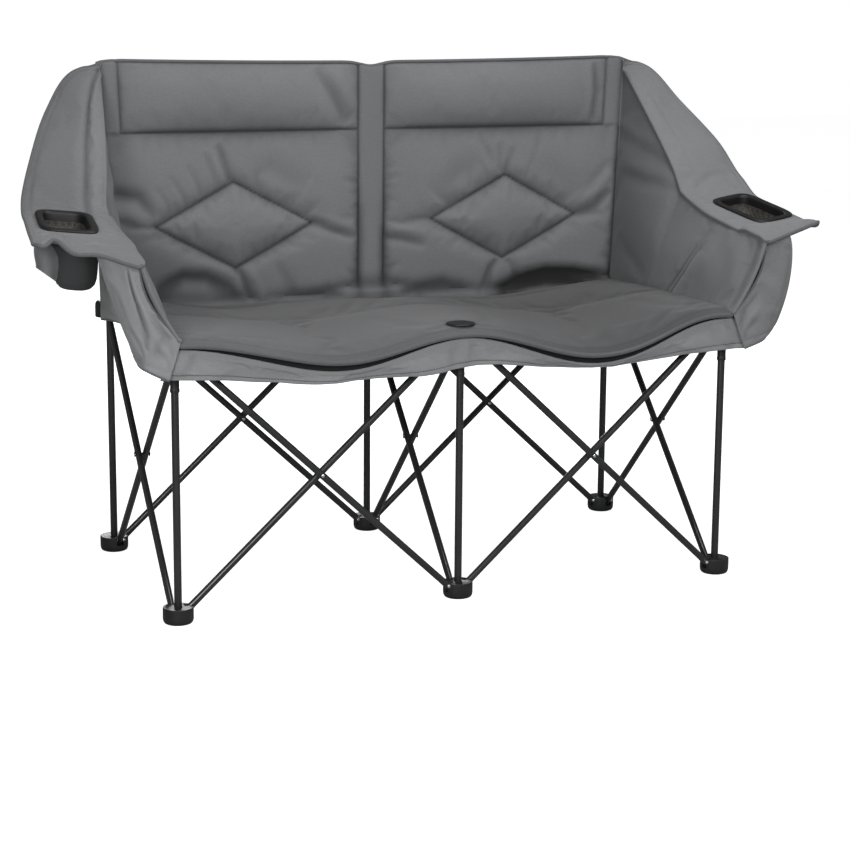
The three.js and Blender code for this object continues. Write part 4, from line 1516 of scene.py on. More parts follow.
@dataclass
class Seat:
    """The padded seat: two leaves that meet at the fold line."""

    finishes: Finishes
    sag: float = 49.0
    rear_sag_share: float = 0.25
    crown: float = 9.0
    lip_drop: float = 8.0
    lip_width: float = 34.0
    corner_rise: float = 4.0
    edge_thickness: float = 9.0
    thickness: float = 18.0
    edge_width: float = 60.0
    rear_edge: float = 214.5
    rear_drops: tuple[tuple[float, float], ...] = (
        (-500, 4), (-330, 14), (-200, 6), (0, 22), (140, 20), (330, 12), (500, 8),
    )
    front_lifts: tuple[tuple[float, float, float], ...] = ((-305, 125, 16.0), (435, 85, 11.0))
    cell: float = 5.0
    hem_inset: float = 13.0
    filling: Filling = Filling(pressure=4.0, spare=0.008, bend=8.0, reach=3.0)
    folds: tuple[Crease, ...] = (
        Crease(((-470, -262), (-420, -180), (-395, -80)), 16, 2.2),
        Crease(((-455, -275), (-380, -225), (-300, -200)), 12, 1.8),
        Crease(((470, -262), (425, -175), (405, -70)), 16, 2.2),
        Crease(((455, -275), (380, -228), (300, -205)), 12, -1.6),
        Crease(((30, -262), (80, -180), (95, -90)), 14, 1.8),
        Crease(((-30, -262), (-84, -185), (-100, -90)), 14, 1.8),
        Crease(((22, -270), (150, -240), (230, -235)), 11, 1.3),
        Crease(((-22, -270), (-150, -242), (-235, -236)), 11, 1.3),
        Crease(((-440, 190), (-300, 150), (-120, 175)), 22, 2.5),
        Crease(((60, 188), (250, 160), (430, 190)), 22, 2.5),
        Crease(((0, 205), (4, 60), (0, -100)), 30, -1.4),
    )

    def top(self, x: Points, y: Points) -> Points:
        """Height of the seat's upper face.

        Args:
            x: places across the seat.
            y: places from front to back.

        Returns:
            Heights.
        """
        across = np.abs(x) / BAY.width
        sag = arch(across) ** 2
        depth = (y - LINES.seat_front) / (LINES.seat_rear - LINES.seat_front)
        sag_here = self.sag * mix(1.0, self.rear_sag_share, depth) * sag
        lip = self.lip_drop * (1 - np.clip((y - LINES.seat_front) / self.lip_width, 0, 1)) ** 2
        rise = self.corner_rise * across ** 2 + self.crown * sag * arch(depth)
        places, falls = np.array(self.rear_drops).T
        rear = np.interp(x, places, falls) * ease((depth - 0.62) / 0.38)
        for middle, spread, lift in self.front_lifts:
            rise = rise + lift * bell(x - middle, spread) * np.clip(1 - depth, 0, 1) ** 2
        return LINES.seat_height - sag_here - lip + rise - rear

    def depth(self, x: Points, y: Points) -> Points:
        """Thickness of the padding.

        Args:
            x: places across the seat.
            y: places from front to back.

        Returns:
            Thicknesses.
        """
        from_ends = np.minimum(y - LINES.seat_front, self.rear_edge - y)
        nearest = np.minimum(from_ends, LINES.seat_half - np.abs(x))
        return mix(self.edge_thickness, self.thickness, ease(nearest / self.edge_width))

    def relief(self, x: Points, y: Points) -> tuple[Points, Points]:
        """How far the upper face sinks at seams and folds, and the seam's mark.

        Args:
            x: places across the seat.
            y: places from front to back.

        Returns:
            How far it sinks, and the mark.
        """
        hem = bell(y - LINES.seat_front - self.hem_inset, 3.2)
        down = hem * 1.2 + sink(self.folds, x, y)
        return down, hem

    def leaf(self, name: str, node: str, rows: Points, body: str) -> None:
        """One leaf of the seat.

        Args:
            name: its name.
            node: the node that it stands for.
            rows: where its rows of points lie.
            body: the body it rides on.
        """
        count = int(LINES.seat_half * 2 / self.cell) + 1
        columns = np.linspace(-LINES.seat_half, LINES.seat_half, count)
        y, x = np.meshgrid(rows, columns, indexing="ij")
        down, hem = self.relief(x, y)
        top = self.top(x, y)
        front = np.stack([x, y, top - down], -1)
        back = np.stack([x, y, top - self.depth(x, y)], -1)
        posts = np.zeros_like(x, bool)
        for column in COLUMNS:
            post = BAY.post("front", column)
            near = np.hypot(x - post[0], y - post[1])
            over = np.clip((32.0 - near) / 5.0, 0.0, 1.0)
            back[..., 2] = np.maximum(back[..., 2], mix(back[..., 2], BAY.hub_top + 0.6, over))
            posts |= near < 30.0
        outward = np.zeros_like(front)
        outward[..., 2] = 1.0
        split = np.abs(y - LINES.seat_split) < 1.0
        held = edges_of(*x.shape, 1) | posts | split | (hem > 0.4)
        front = self.filling.settle(name, front, outward, held)
        points, faces = closed_pad(front, back, 6, flat_edge=split)
        # Painted shade on the seat: darker towards the rear and towards the right, and in the hollows of the
        # settled cloth, with a dark line at the hem.
        rear = ease((y - LINES.seat_front) / (self.rear_edge - LINES.seat_front))
        painted_shading = hem * 0.3 + rear ** 1.2 + 0.46 * ease((x + 150) / 400)
        painted_shading = np.clip(painted_shading + hollows(front[..., 2], 5, 6.0) * 0.3, 0, 1.2)
        piece = make_piece(name, points, faces, self.finishes.seat, padded_shade(painted_shading, len(points)))
        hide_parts(node)
        draw_in(piece, "grey_cloth", body)

    def build(self) -> None:
        """Makes both leaves and the stitches along the front hem."""
        front_rows = np.linspace(LINES.seat_front, LINES.seat_split - 0.05, int(264 / self.cell) + 1)
        rear_rows = np.linspace(LINES.seat_split + 0.05, self.rear_edge, int(240 / self.cell) + 1)
        self.leaf("seat_pad_front", "seat_front_leaf", front_rows, "seat_front")
        self.leaf("seat_pad_rear", "seat_rear_leaf", rear_rows, "seat_rear")
        x = np.linspace(-LINES.seat_half + 4, LINES.seat_half - 4, 240)
        y = np.full_like(x, LINES.seat_front + self.hem_inset)
        seam = np.stack([x, y, self.top(x, y) - self.relief(x, y)[0]], -1)
        rows = stitches(seam, np.tile((0.0, -0.2, 1.0), (len(x), 1)))
        thread = make_piece("seat_hem_stitches", *rows, self.finishes.thread)
        draw_in(thread, "grey_cloth", "seat_front")
        LOG.info("seat: two leaves and the hem")


@dataclass
class BackPanel:
    """The quilted back: head roll, two fields with diamonds and three strips."""

    finishes: Finishes
    centre_half: float = 25.0
    strip_inner: float = 465.0
    corner_rise: float = 7.0
    head_seam: float = 779.0
    diamond_x: float = 265.0
    diamond_z: float = 607.0
    diamond_width: float = 148.0
    diamond_height: float = 80.0
    seam_thickness: float = 9.0
    field_crown: float = 17.0
    roll_crown: float = 21.0
    diamond_crown: float = 7.0
    pocket_radius: float = 11.0
    pocket_low: float = 758.0
    pocket_top: float = 893.0
    cell: float = 4.0
    bottom_drop: float = 24.0
    skirt_forward: float = 17.5
    skirt_top: float = 488.0
    skirt_low: float = 470.0
    notch_depth: float = 8.0
    shoulder_drop: float = 5.0
    filling: Filling = Filling(pressure=6.0, spare=0.012, bend=8.0, reach=4.0)
    creases: tuple[Crease, ...] = (
        Crease(((-108, 893), (-78, 845), (-45, 788)), 15, 7.5),
        Crease(((-75, 893), (-55, 850), (-38, 810)), 12, -2.5),
        Crease(((-384, 636), (-412, 682)), 5, 2.0),
        Crease(((-356, 650), (-384, 700)), 5, 2.3),
        Crease(((-327, 664), (-352, 722)), 5, 2.6),
        Crease(((-299, 678), (-318, 742)), 6, 3.2),
        Crease(((-272, 684), (-292, 756)), 8, 5.5),
        Crease(((-286, 684), (-304, 744)), 5, -1.6),
        Crease(((-235, 690), (-190, 706), (-130, 668)), 30, 6.0),
        Crease(((-412, 622), (-442, 660), (-505, 672)), 15, 8.0),
        Crease(((-425, 590), (-450, 628), (-500, 640)), 14, -3.0),
        Crease(((-123, 609), (-78, 590), (-30, 573)), 9, 4.5),
        Crease(((-123, 622), (-78, 608), (-30, 595)), 9, -2.5),
        Crease(((-267, 529), (-253, 506), (-229, 462)), 9, 6.0),
        Crease(((-245, 529), (-232, 506), (-205, 470)), 9, -2.5),
        Crease(((-195, 540), (-147, 473)), 14, 3.0),
        Crease(((-425, 476), (-405, 496), (-366, 514), (-324, 511), (-282, 494), (-255, 470)), 13, 9.5, 0.5),
        Crease(((-190, 470), (-88, 478), (-28, 468)), 12, 9.0, 0.4),
        Crease(((440, 893), (446, 840), (443, 782)), 8, 7.0),
        Crease(((428, 893), (432, 840), (430, 790)), 8, -2.0),
        Crease(((246, 690), (224, 744)), 8, 3.0),
        Crease(((254, 690), (252, 748)), 7, 3.0),
        Crease(((263, 690), (281, 740)), 8, 3.0),
        Crease(((130, 640), (170, 690), (220, 712)), 26, 5.6),
        Crease(((310, 706), (360, 690), (408, 640)), 28, 4.0),
        Crease(((21, 575), (61, 569), (108, 556)), 9, 4.6),
        Crease(((21, 592), (61, 588), (108, 580)), 9, -2.6),
        Crease(((411, 606), (453, 618), (489, 652)), 12, 4.6),
        Crease(((417, 627), (455, 650), (488, 690)), 11, -3.2),
        Crease(((425, 650), (455, 680), (488, 716)), 10, 2.0),
        Crease(((255, 524), (240, 504), (226, 466)), 9, 6.5),
        Crease(((275, 524), (292, 500), (306, 470)), 11, 5.0),
        Crease(((26, 472), (82, 477), (143, 484), (205, 468)), 13, 10.0, 0.5),
        Crease(((232, 464), (273, 478), (320, 491), (358, 496), (416, 493), (475, 482), (500, 474)),
               12, 12.5, 2.1),
        Crease(((-22, 640), (-20, 560), (-24, 490)), 9, 3.0),
        Crease(((22, 600), (20, 540), (24, 482)), 9, 3.0),
    )

    def seam_gap(self, x: Points, z: Points) -> Points:
        """Distance to the nearest line of the diamonds.

        Args:
            x: places across the seat.
            z: heights.

        Returns:
            Distances, negative inside a diamond.
        """
        across = np.abs(np.abs(x) - self.diamond_x) / self.diamond_width
        share = across + np.abs(z - self.diamond_z) / self.diamond_height - 1
        return share / math.hypot(1 / self.diamond_width, 1 / self.diamond_height)

    def depth(self, x: Points, z: Points, top: float) -> Points:
        """Thickness of the padding at a place before creases.

        Args:
            x: places across the seat.
            z: heights.
            top: height of the upper edge.

        Returns:
            Thicknesses.
        """
        across = np.abs(x)
        outer = np.where(z >= self.head_seam, self.strip_inner, LINES.side_inner)
        wide = np.sqrt(arch((across - self.centre_half) / (outer - self.centre_half)))
        head_share = (z - self.head_seam) / (top - self.head_seam)
        roll = self.seam_thickness + self.roll_crown * wide * np.sqrt(arch(head_share))
        share = (z - LINES.back_bottom) / (self.head_seam - LINES.back_bottom)
        gap = self.seam_gap(x, z)
        stitch = np.exp(-np.abs(gap / 5.0) ** 1.3)
        valley = bell(gap, 17.0)
        inside = np.clip(-gap / 60.0, 0, 1) * self.diamond_crown
        field_rise = self.field_crown * wide * np.sqrt(arch(share))
        body = self.seam_thickness + (field_rise + inside) * (1 - 0.30 * valley) * (1 - 0.38 * stitch)
        body = body + 3.0 * ease((across - self.strip_inner) / 28.0)
        padded = np.where(z >= self.head_seam, roll, body)
        strip = LINES.strip_thickness - 1.5
        edge = np.minimum(np.abs(across - self.centre_half), np.abs(across - self.strip_inner))
        plain = strip + 1.8 * (1 - bell(edge, 5.0))
        side_strip = (across > self.strip_inner) & (z >= self.head_seam)
        return np.where((across < self.centre_half) | side_strip, plain, padded)

    def mid_bay(self, x: Points) -> Points:
        """A share that is 0 by the posts and 1 between them."""
        return np.minimum(1.0, 2.4 * arch((np.abs(x) - 34.0) / 430.0))

    def marks(self, x: Points, z: Points) -> Points:
        """Painted shade on the panel's front: dark seam lines with painted shade in their grooves, and
        painted shade in the folds, beside the arms and along the bottom.

        Args:
            x: places across the seat.
            z: heights.

        Returns:
            Shares, over 1 where it is darkest.
        """
        across = np.abs(x)
        in_field = (across > self.centre_half - 4) & (across < self.strip_inner + 4)
        diamond = bell(self.seam_gap(x, z), 2.6) * in_field * (z < self.head_seam)
        beside = across > self.centre_half - 4
        head = bell(z - self.head_seam, 3.0) * np.where(in_field, 1.0, 0.55) * beside
        strips = np.maximum(bell(across - self.centre_half, 2.6),
                            0.5 * bell(across - self.strip_inner, 3.2) * (z >= self.head_seam))
        # Painted shade beside the arms and on the lower part of the centre strip.
        strips = strips + 1.1 * bell(across - LINES.side_inner, 7)
        strips = strips + 0.55 * bell(across - self.centre_half, 10) * ease((720 - z) / 140)
        # Painted shade in the dark folds just above the seat.
        pockets = sum(stroke(x, z, list(fold.line), fold.width * 1.15) * fold.dark
                      for fold in self.creases if fold.dark)
        # Painted shade along the bottom, deeper by the posts.
        low = bell(z - LINES.back_bottom + 12, 22)
        low = low + 0.5 * ease((516 - z) / 22) * (1 - self.mid_bay(x))
        most = mix(1.3, 2.1, ease((across - 60) / 60))
        return np.clip(np.maximum(np.maximum(diamond, head), strips) + pockets + 0.8 * low, 0, most)

    def placed(self, x: Points, z: Points) -> tuple[Points, Points]:
        """The panel's outline: it widens and rises towards its upper corners.

        Args:
            x: places across the seat.
            z: heights.

        Returns:
            Places across, and heights.
        """
        across = np.abs(x) / BAY.width
        lift = np.maximum(0, (z - self.head_seam) / (LINES.back_top - self.head_seam))
        top = z + lift * self.corner_rise * across ** 2
        notch = self.notch_depth * bell(x, 26.0) * ease((z - LINES.back_top + 60) / 60)
        shoulder = self.shoulder_drop * np.clip((across - 0.9) / 0.1, 0, 1) ** 2 * lift
        low = self.bottom_drop * np.clip(1 - (z - LINES.back_bottom) / 40.0, 0, 1) ** 2
        return x * LINES.side_line(top) / LINES.side_inner, top - notch - shoulder - low

    def spaced(self, start: float, end: float) -> Points:
        """Grid lines between two seams, about one cell apart."""
        return np.linspace(start, end, int((end - start) / self.cell))

    def lattice(self) -> tuple[Points, Points]:
        """A grid with lines on the straight seams, drawn onto the diamonds.

        Returns:
            Places across, and heights.
        """
        half = np.concatenate([
            np.linspace(0, self.centre_half, 7)[:-1],
            self.spaced(self.centre_half, self.strip_inner)[:-1],
            np.linspace(self.strip_inner, LINES.side_inner, 9),
        ])
        columns = np.concatenate([-half[:0:-1], half])
        rows = np.concatenate([
            self.spaced(LINES.back_bottom, self.head_seam)[:-1],
            self.spaced(self.head_seam, LINES.back_top),
        ])
        z, x = np.meshgrid(rows, columns, indexing="ij")
        gap = self.seam_gap(x, z)
        near = np.abs(gap) < self.cell * 0.52
        inside = (np.abs(x) > self.centre_half + 1) & (np.abs(x) < self.strip_inner - 1)
        slope = np.array([1 / self.diamond_width, 1 / self.diamond_height])
        slope = slope / np.linalg.norm(slope)
        move = np.where(near & inside, gap, 0.0)
        step_x = move * slope[0] * np.sign(np.abs(x) - self.diamond_x) * np.sign(x)
        step_z = move * slope[1] * np.sign(z - self.diamond_z)
        return x - step_x, z - step_z

    def sewn(self, x: Points, z: Points) -> Points:
        """True on the rim and on every seam.

        Args:
            x: places across the seat.
            z: heights.

        Returns:
            A grid of truths.
        """
        across = np.abs(x)
        held = edges_of(*x.shape)
        in_field = (across > self.centre_half + 1) & (across < self.strip_inner - 1)
        held |= (np.abs(self.seam_gap(x, z)) < 1.0) & in_field & (z < self.head_seam)
        held |= across < self.centre_half + 1.0
        held |= (across > self.strip_inner - 1.0) & (z >= self.head_seam)
        return held | ((np.abs(z - self.head_seam) < 1.0) & (across > self.centre_half))

    def face(self, x: Points, z: Points) -> Points:
        """The front of the panel with every crease.

        Args:
            x: places across the seat.
            z: heights.

        Returns:
            Points of the front sheet.
        """
        down = sink(self.creases, x, z) * ease((LINES.side_inner - np.abs(x)) / 16.0)
        placed_x, placed_z = self.placed(x, z)
        depth = np.maximum(self.depth(x, z, LINES.back_top) - down, 5.5)
        depth = np.maximum(depth, 6.0 + self.skirt(x, placed_z))
        return np.stack([placed_x, LINES.back_rear - depth, placed_z], -1)

    def skirt(self, x: Points, placed_z: Points) -> Points:
        """How far the panel's lowest part comes forward, to pass in front of the hubs.

        Args:
            x: places across the seat.
            placed_z: heights on the finished panel.

        Returns:
            Distances.
        """
        mid_bay = self.mid_bay(x)
        by_posts = ease((self.skirt_top - placed_z) / (self.skirt_top - 474.0))
        between = ease((self.skirt_low - placed_z) / (self.skirt_low - 454.0))
        return self.skirt_forward * mix(by_posts, between, mid_bay)

    def build(self) -> None:
        """Makes the panel, its edge tape, stitches and post pockets."""
        x, z = self.lattice()
        front = self.face(x, z)
        outward = np.zeros_like(front)
        outward[..., 1] = -1.0
        settled = self.filling.settle("back_cloth", front, outward, self.sewn(x, z))
        calm = np.where(z > self.head_seam, 0.4, mix(0.9, 0.35, ease((z - 690) / 70)))
        front = mix(front, settled, calm[..., None])
        placed_x, placed_z = self.placed(x, z)
        slack = 0.8 * np.sin(placed_x / 37.0) * np.sin(placed_z / 29.0)
        rear_y = LINES.back_rear - 0.8 + slack * 0.5 - self.skirt(x, placed_z)
        back = np.stack([placed_x, rear_y, placed_z], -1)
        # Painted shade in the hollows of the settled cloth, and painted light on its ridges above the lowest
        # part.
        fall = 0.5 * hollows(-front[..., 1], 4, 3.0) + 0.5 * hollows(-front[..., 1], 12, 8.0)
        marks = self.marks(x, z) + 0.9 * np.maximum(fall, 0) + 0.4 * np.minimum(fall, 0) * (z > 510)
        points, faces = closed_pad(front, back, 5)
        shade = padded_shade(marks, len(points), 0.0)
        piece = make_piece("back_quilt", points, faces, self.finishes.cloth, shade)
        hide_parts("back_panel")
        self.follow(piece, "grey_cloth")
        self.tape()
        self.thread()
        self.pockets()
        LOG.info("back: quilt %d points, tape, stitches and pockets", len(points))

    def follow(self, piece: bpy.types.Object, slot: str) -> None:
        """Keeps a piece on the posts."""
        draw_in(piece, slot, "base")

    def tape(self) -> None:
        """The tape that binds the upper edge."""
        x = np.linspace(-LINES.side_inner, LINES.side_inner, 260)
        z = np.full_like(x, LINES.back_top)
        placed_x, placed_z = self.placed(x, z)
        depth = self.depth(x, z - 0.5, LINES.back_top)
        path = np.stack([placed_x, LINES.back_rear - depth / 2 - 1.0, placed_z + 2.2], -1)
        points, faces = swept(path, 5.4, 12, 0.62)
        self.follow(make_piece("back_edge_tape", points, faces, self.finishes.trim), "grey_cloth")

    def thread(self) -> None:
        """Stitches along the head seam and the diamonds."""
        rows = []
        for sign in (-1, 1):
            across = np.linspace(self.centre_half + 4, self.strip_inner - 4, 160) * sign
            rows.append((across, np.full_like(across, self.head_seam - 1.0)))
            cx, w, h = self.diamond_x * sign, self.diamond_width, self.diamond_height
            cz = self.diamond_z
            corners = [(cx, cz + h), (cx + w, cz), (cx, cz - h), (cx - w, cz)]
            for (x0, z0), (x1, z1) in zip(corners, corners[1:] + corners[:1]):
                t = np.linspace(0.01, 0.99, 60)
                rows.append((mix(x0, x1, t), mix(z0, z1, t)))
        parts = []
        for x, z in rows:
            path = self.face(x, z) + (0.0, -0.15, 0.0)
            parts.append(stitches(path, np.tile((0.0, -1.0, 0.0), (len(x), 1))))
        self.follow(make_piece("back_stitches", *merged(parts), self.finishes.thread), "grey_cloth")

    def pockets(self) -> None:
        """The sleeves on the rear that slip over the posts."""
        for column in COLUMNS:
            post = BAY.post("back", column)
            r = self.pocket_radius
            outline = [(0, self.pocket_low, 0), (r - 1.6, self.pocket_low, 0), (r, self.pocket_low, 0.8),
                       (r, self.pocket_low + 7, 0.5), (r - 0.7, self.pocket_low + 8, 0.4),
                       (r - 0.7, self.pocket_top - 4, 2.0), (r - 4, self.pocket_top, 1.5),
                       (0, self.pocket_top, 0)]
            points, faces = lathe(rounded(outline, 3), 40)
            height = (points[:, 2] - self.pocket_low) / (self.pocket_top - self.pocket_low)
            angle = np.arctan2(points[:, 1], points[:, 0])
            points[:, :2] *= (1 + 0.02 * np.sin(angle * 5 + height * 9) * arch(height))[:, None]
            piece = make_piece(f"post_pocket_{column}", points + post, faces, self.finishes.trim)
            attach(piece, {"left": "back_foot_left", "middle": "base", "right": "back_foot_right"}[column])


@dataclass(frozen=True)
class CupPlace:
    """Where a cup holder sits in its arm rest, and its outline."""

    side: Side
    middle: tuple[float, float, float] = (640.0, -85.0, 652.5)
    slope_back: float = 0.115
    slope_out: float = 0.04
    half_width: float = 45.0
    half_length: float = 72.0
    skew_across: float = 17.0
    skew_along: float = 6.0
    corner_power: float = 0.38
    pouch_radius: float = 34.0
    pouch_shift_x: float = -14.0
    pouch_shift_y: float = -26.0

    @property
    def origin(self) -> Points:
        """The middle of the cup holder."""
        return np.array(self.middle) * (self.side.value, 1, 1)

    @property
    def axes(self) -> tuple[Points, Points, Points]:
        """Across, towards the back and up from the wing.

        Returns:
            Three directions of length one.
        """
        across = unit(np.array([self.side.value, 0.0, self.slope_out]))
        back = unit(np.array([0.0, 1.0, self.slope_back]))
        lift = unit(np.cross(across, back) * self.side.value)
        return across, back, lift

    def outline(self, angle: Points, grow: float, height: float, round_share: float) -> Points:
        """Points of the rounded, skewed outline.

        Args:
            angle: angles round the cup.
            grow: how far outside the outline.
            height: how far above the wing's middle.
            round_share: 0 for the holder's own outline, 1 for the pouch's circle.

        Returns:
            Coordinates.
        """
        power = mix(self.corner_power, 1.0, round_share)
        square_x, square_y = (np.sign(turn) * np.abs(turn) ** power
                              for turn in (np.cos(angle), np.sin(angle)))
        width = (mix(self.half_width, self.pouch_radius, round_share) + grow) * square_x
        length = (mix(self.half_length, self.pouch_radius, round_share) + grow) * square_y
        skew_a = math.radians(self.skew_across) * (1 - round_share)
        skew_b = math.radians(self.skew_along) * (1 - round_share)
        x = width * math.cos(skew_a) - length * math.sin(skew_b) + round_share * self.pouch_shift_x
        y = width * math.sin(skew_a) + length * math.cos(skew_b) + round_share * self.pouch_shift_y
        across, back, lift = self.axes
        return self.origin + across * x[:, None] + back * y[:, None] + lift * height

    def rings(self, table: list[tuple[float, float, float]]) -> list[Points]:
        """Rings round the cup, from how far out, how high and how round each one is."""
        angle = np.linspace(0, 2 * np.pi, 144, endpoint=False) + 0.01
        return [self.outline(angle, grow, height, share) for grow, height, share in table]

    def inside(self, points: Points) -> Points:
        """How far points lie inside the outline, as a share: over 1 is outside.

        Args:
            points: points of the wing.

        Returns:
            Shares.
        """
        across, back, _ = self.axes
        away = points - self.origin
        x, y = away @ across, away @ back
        a, b = math.radians(self.skew_across), math.radians(self.skew_along)
        spread = math.cos(a) * math.cos(b) + math.sin(b) * math.sin(a)
        width = (x * math.cos(b) + y * math.sin(b)) / spread
        length = (y * math.cos(a) - x * math.sin(a)) / spread
        power = 2.0 / self.corner_power
        shares = np.abs(width) / (self.half_width - 2.5), np.abs(length) / (self.half_length - 2.5)
        return (shares[0] ** power + shares[1] ** power) ** (1 / power)


@dataclass(frozen=True)
class ArmHabit:
    """How the cloth of one arm has settled: the two sides hang a little differently.

    Roll, bulge, lift, flap and light are shares, the slope is rise by run and the skew is in
    degrees. The rest are millimetres. Light is painted light: the share by which the outer
    cover's colour is lightened.
    """

    roll: float
    bulge: float
    draw_in: float
    lift: float
    notch: float
    drop: float
    slope: float
    skew: float
    flap: float
    light: float


HABITS: dict[Side, ArmHabit] = {
    Side.LEFT: ArmHabit(roll=1.0, bulge=0.06, draw_in=16.0, lift=0.85, notch=12.0, drop=1.5, slope=0.115,
                        skew=6.0, flap=1.0, light=0.95),
    Side.RIGHT: ArmHabit(roll=0.12, bulge=0.72, draw_in=0.0, lift=0.0, notch=0.0, drop=17.0, slope=0.2,
                         skew=12.0, flap=0.25, light=0.0),
}


@dataclass
class Arm:
    """One arm: inner panel, wing, outer cover with its front band, and cup holder."""

    finishes: Finishes
    side: Side
    reach: float = 216.0
    wing_thickness: float = 13.0
    wing_edge: float = 6.0
    outer_corner: float = 30.0
    inner_corner: float = 13.0
    apron: float = 7.0
    side_thickness: float = 13.0
    side_edge: float = 8.0
    side_bulge: float = 7.0
    side_front_rise: float = 9.0
    edge_bow: float = 7.0
    cover_thickness: float = 3.0
    cover_length: float = 702.0
    cover_height: float = 190.0
    cover_bulge: float = 45.0
    cover_drop: float = 1.2
    band_tuck: float = 37.0
    band_hollow: float = 8.0
    hang_gap: float = 0.8
    pad_width: float = 12.0
    fade_width: float = 60.0
    seam_table: tuple[tuple[float, float, float], ...] = (
        (0.912, 0.065, 0.949), (0.74, 0.093, 0.807), (0.48, 0.139, 0.59), (0.26, 0.19, 0.383),
        (0.1, 0.231, 0.207), (-0.12, 0.231, 0.129), (-0.34, 0.231, 0.081), (-0.82, 0.245, 0.041),
        (-1.188, 0.259, 0.0),
    )
    edge_table: tuple[tuple[float, float, float], ...] = (
        (0.888, 0.065, 1.0), (0.876, 0.315, 0.936), (0.74, 0.532, 0.736), (0.408, 0.741, 0.475),
        (0.204, 0.861, 0.258), (-0.172, 0.917, 0.153), (-0.452, 0.954, 0.119), (-0.66, 0.977, 0.102),
        (-0.84, 1.0, 0.088),
    )
    cover_table: tuple[tuple[float, float, float, float, float, float], ...] = (
        (0.109, -1.17, 0, 0.985, 0.035, 0), (0.292, -1.15, 0.07, 0.99, 0.22, 0.25),
        (0.361, -1.06, 0.12, 0.97, 0.4, 0.75), (0.278, -0.8, 0.05, 0.88, 0.33, 0.9),
        (0.208, -0.48, 0.06, 0.77, 0.16, 0.25), (0.162, 0, 0.09, 0.6, 0.15, 0.15),
        (0.13, 0.4, 0.12, 0.38, 0.2, 0.12), (0.125, 0.76, 0.135, 0.16, 0.2, 0.1),
    )
    cover_folds: tuple[Crease, ...] = (
        Crease(((6, 14), (34, 34), (64, 42)), 6, 2.2),
        Crease(((6, 30), (30, 62), (50, 96)), 7, 2.0),
        Crease(((18, 20), (46, 52), (76, 70)), 8, -2.0),
        Crease(((120, 20), (150, 90), (160, 170)), 14, 1.8),
    )
    band_folds: tuple[Crease, ...] = (
        Crease(((62, 188), (68, 120), (92, 36)), 5, 7.0),
        Crease(((44, 188), (50, 120), (76, 40)), 10, -4.5),
        Crease(((20, 110), (34, 70), (66, 26)), 9, 3.0),
    )
    draw_shares: tuple[float, ...] = (0.25, 1.0, 1.0, 0.7, 0.0, 0.1, 0.0, 0.0)
    lift_heights: tuple[float, ...] = (0.0, 0.0, 0.0, 44.0, 61.0, 40.0, 20.0, 3.0)
    wing_filling: Filling = Filling(pressure=4.0, spare=0.008, bend=8.0, reach=3.0)
    panel_filling: Filling = Filling(pressure=4.0, spare=0.014, bend=8.0, reach=4.5)
    cover_filling: Filling = Filling(pressure=1.0, spare=0.012, bend=8.0, reach=3.0)
    blend_start: tuple[float, float, float] = (0.0, 0.262, 0.6)
    blend_end: tuple[float, float, float] = (0.0, -0.048, 0.6)
    seam: Curve3 = field(init=False)
    edge: Curve3 = field(init=False)
    cup: CupPlace = field(init=False)
    habit: ArmHabit = field(init=False)
    length: float = field(init=False)

    def __post_init__(self) -> None:
        """Lays out the two long lines of the wing and the cup's place."""
        self.habit = HABITS[self.side]
        self.seam = self.line(self.seam_table)
        self.edge = self.line(self.edge_table)
        high = (CupPlace.middle[0], CupPlace.middle[1], CupPlace.middle[2] - self.habit.drop)
        self.cup = CupPlace(Side.RIGHT, middle=high, slope_back=self.habit.slope, skew_along=self.habit.skew)
        steps = self.seam.at(np.linspace(0, 1, 200))
        self.length = float(np.linalg.norm(np.diff(steps, axis=0), axis=1).sum())

    def line(self, table: tuple[tuple[float, float, float], ...]) -> Curve3:
        """A line along the arm from shares of its depth, reach and rise.

        Args:
            table: rows of depth, reach and rise.

        Returns:
            The line.
        """
        rows = np.array(table)
        x = BAY.width + self.reach * rows[:, 1]
        y = BAY.depth / 2 * rows[:, 0]
        z = mix(LINES.arm_height, LINES.wing_top, rows[:, 2])
        return Curve3(np.stack([x, y, z], -1))

    def mirrored(self, points: Points) -> Points:
        """Points of the right arm on this arm's side."""
        return points * (self.side.value, 1.0, 1.0)

    def width(self, u: Points) -> Points:
        """Width of the wing at a share of its length."""
        return np.linalg.norm(self.edge.at(u) - self.seam.at(u), axis=-1)

    def middle(self, u: Points, v: Points) -> Points:
        """The middle of the wing's cloth, flat under the cup holder.

        Args:
            u: shares of the way from the back to the front.
            v: shares of the way across.

        Returns:
            Points.
        """
        v = np.asarray(v)
        point = mix(self.seam.at(u), self.edge.at(u), v[..., None])
        limit = LINES.back_corner_front - self.wing_edge / 2 - 0.3
        point[..., 1] = np.minimum(point[..., 1], limit)
        point[..., 2] -= 5.0 * ease(1 - np.asarray(u) / 0.07)
        across, back, lift = self.cup.axes
        away = point - self.cup.origin
        beyond = np.maximum(np.abs(away @ across) - self.cup.half_width,
                            np.abs(away @ back) - self.cup.half_length)
        fade = 1 - ease((beyond - self.pad_width) / self.fade_width)
        point = point - lift * ((away @ lift) * fade)[..., None]
        near_front = ease((np.asarray(u) - 0.86) / 0.14) * (1 - fade)
        gather = 1.5 * bell(v - 0.79, 0.1) + 0.6 * bell(v - 0.4, 0.2)
        gather = gather * near_front * self.habit.notch
        point[..., 2] += gather
        point[..., 1] += gather * 1.3
        return point

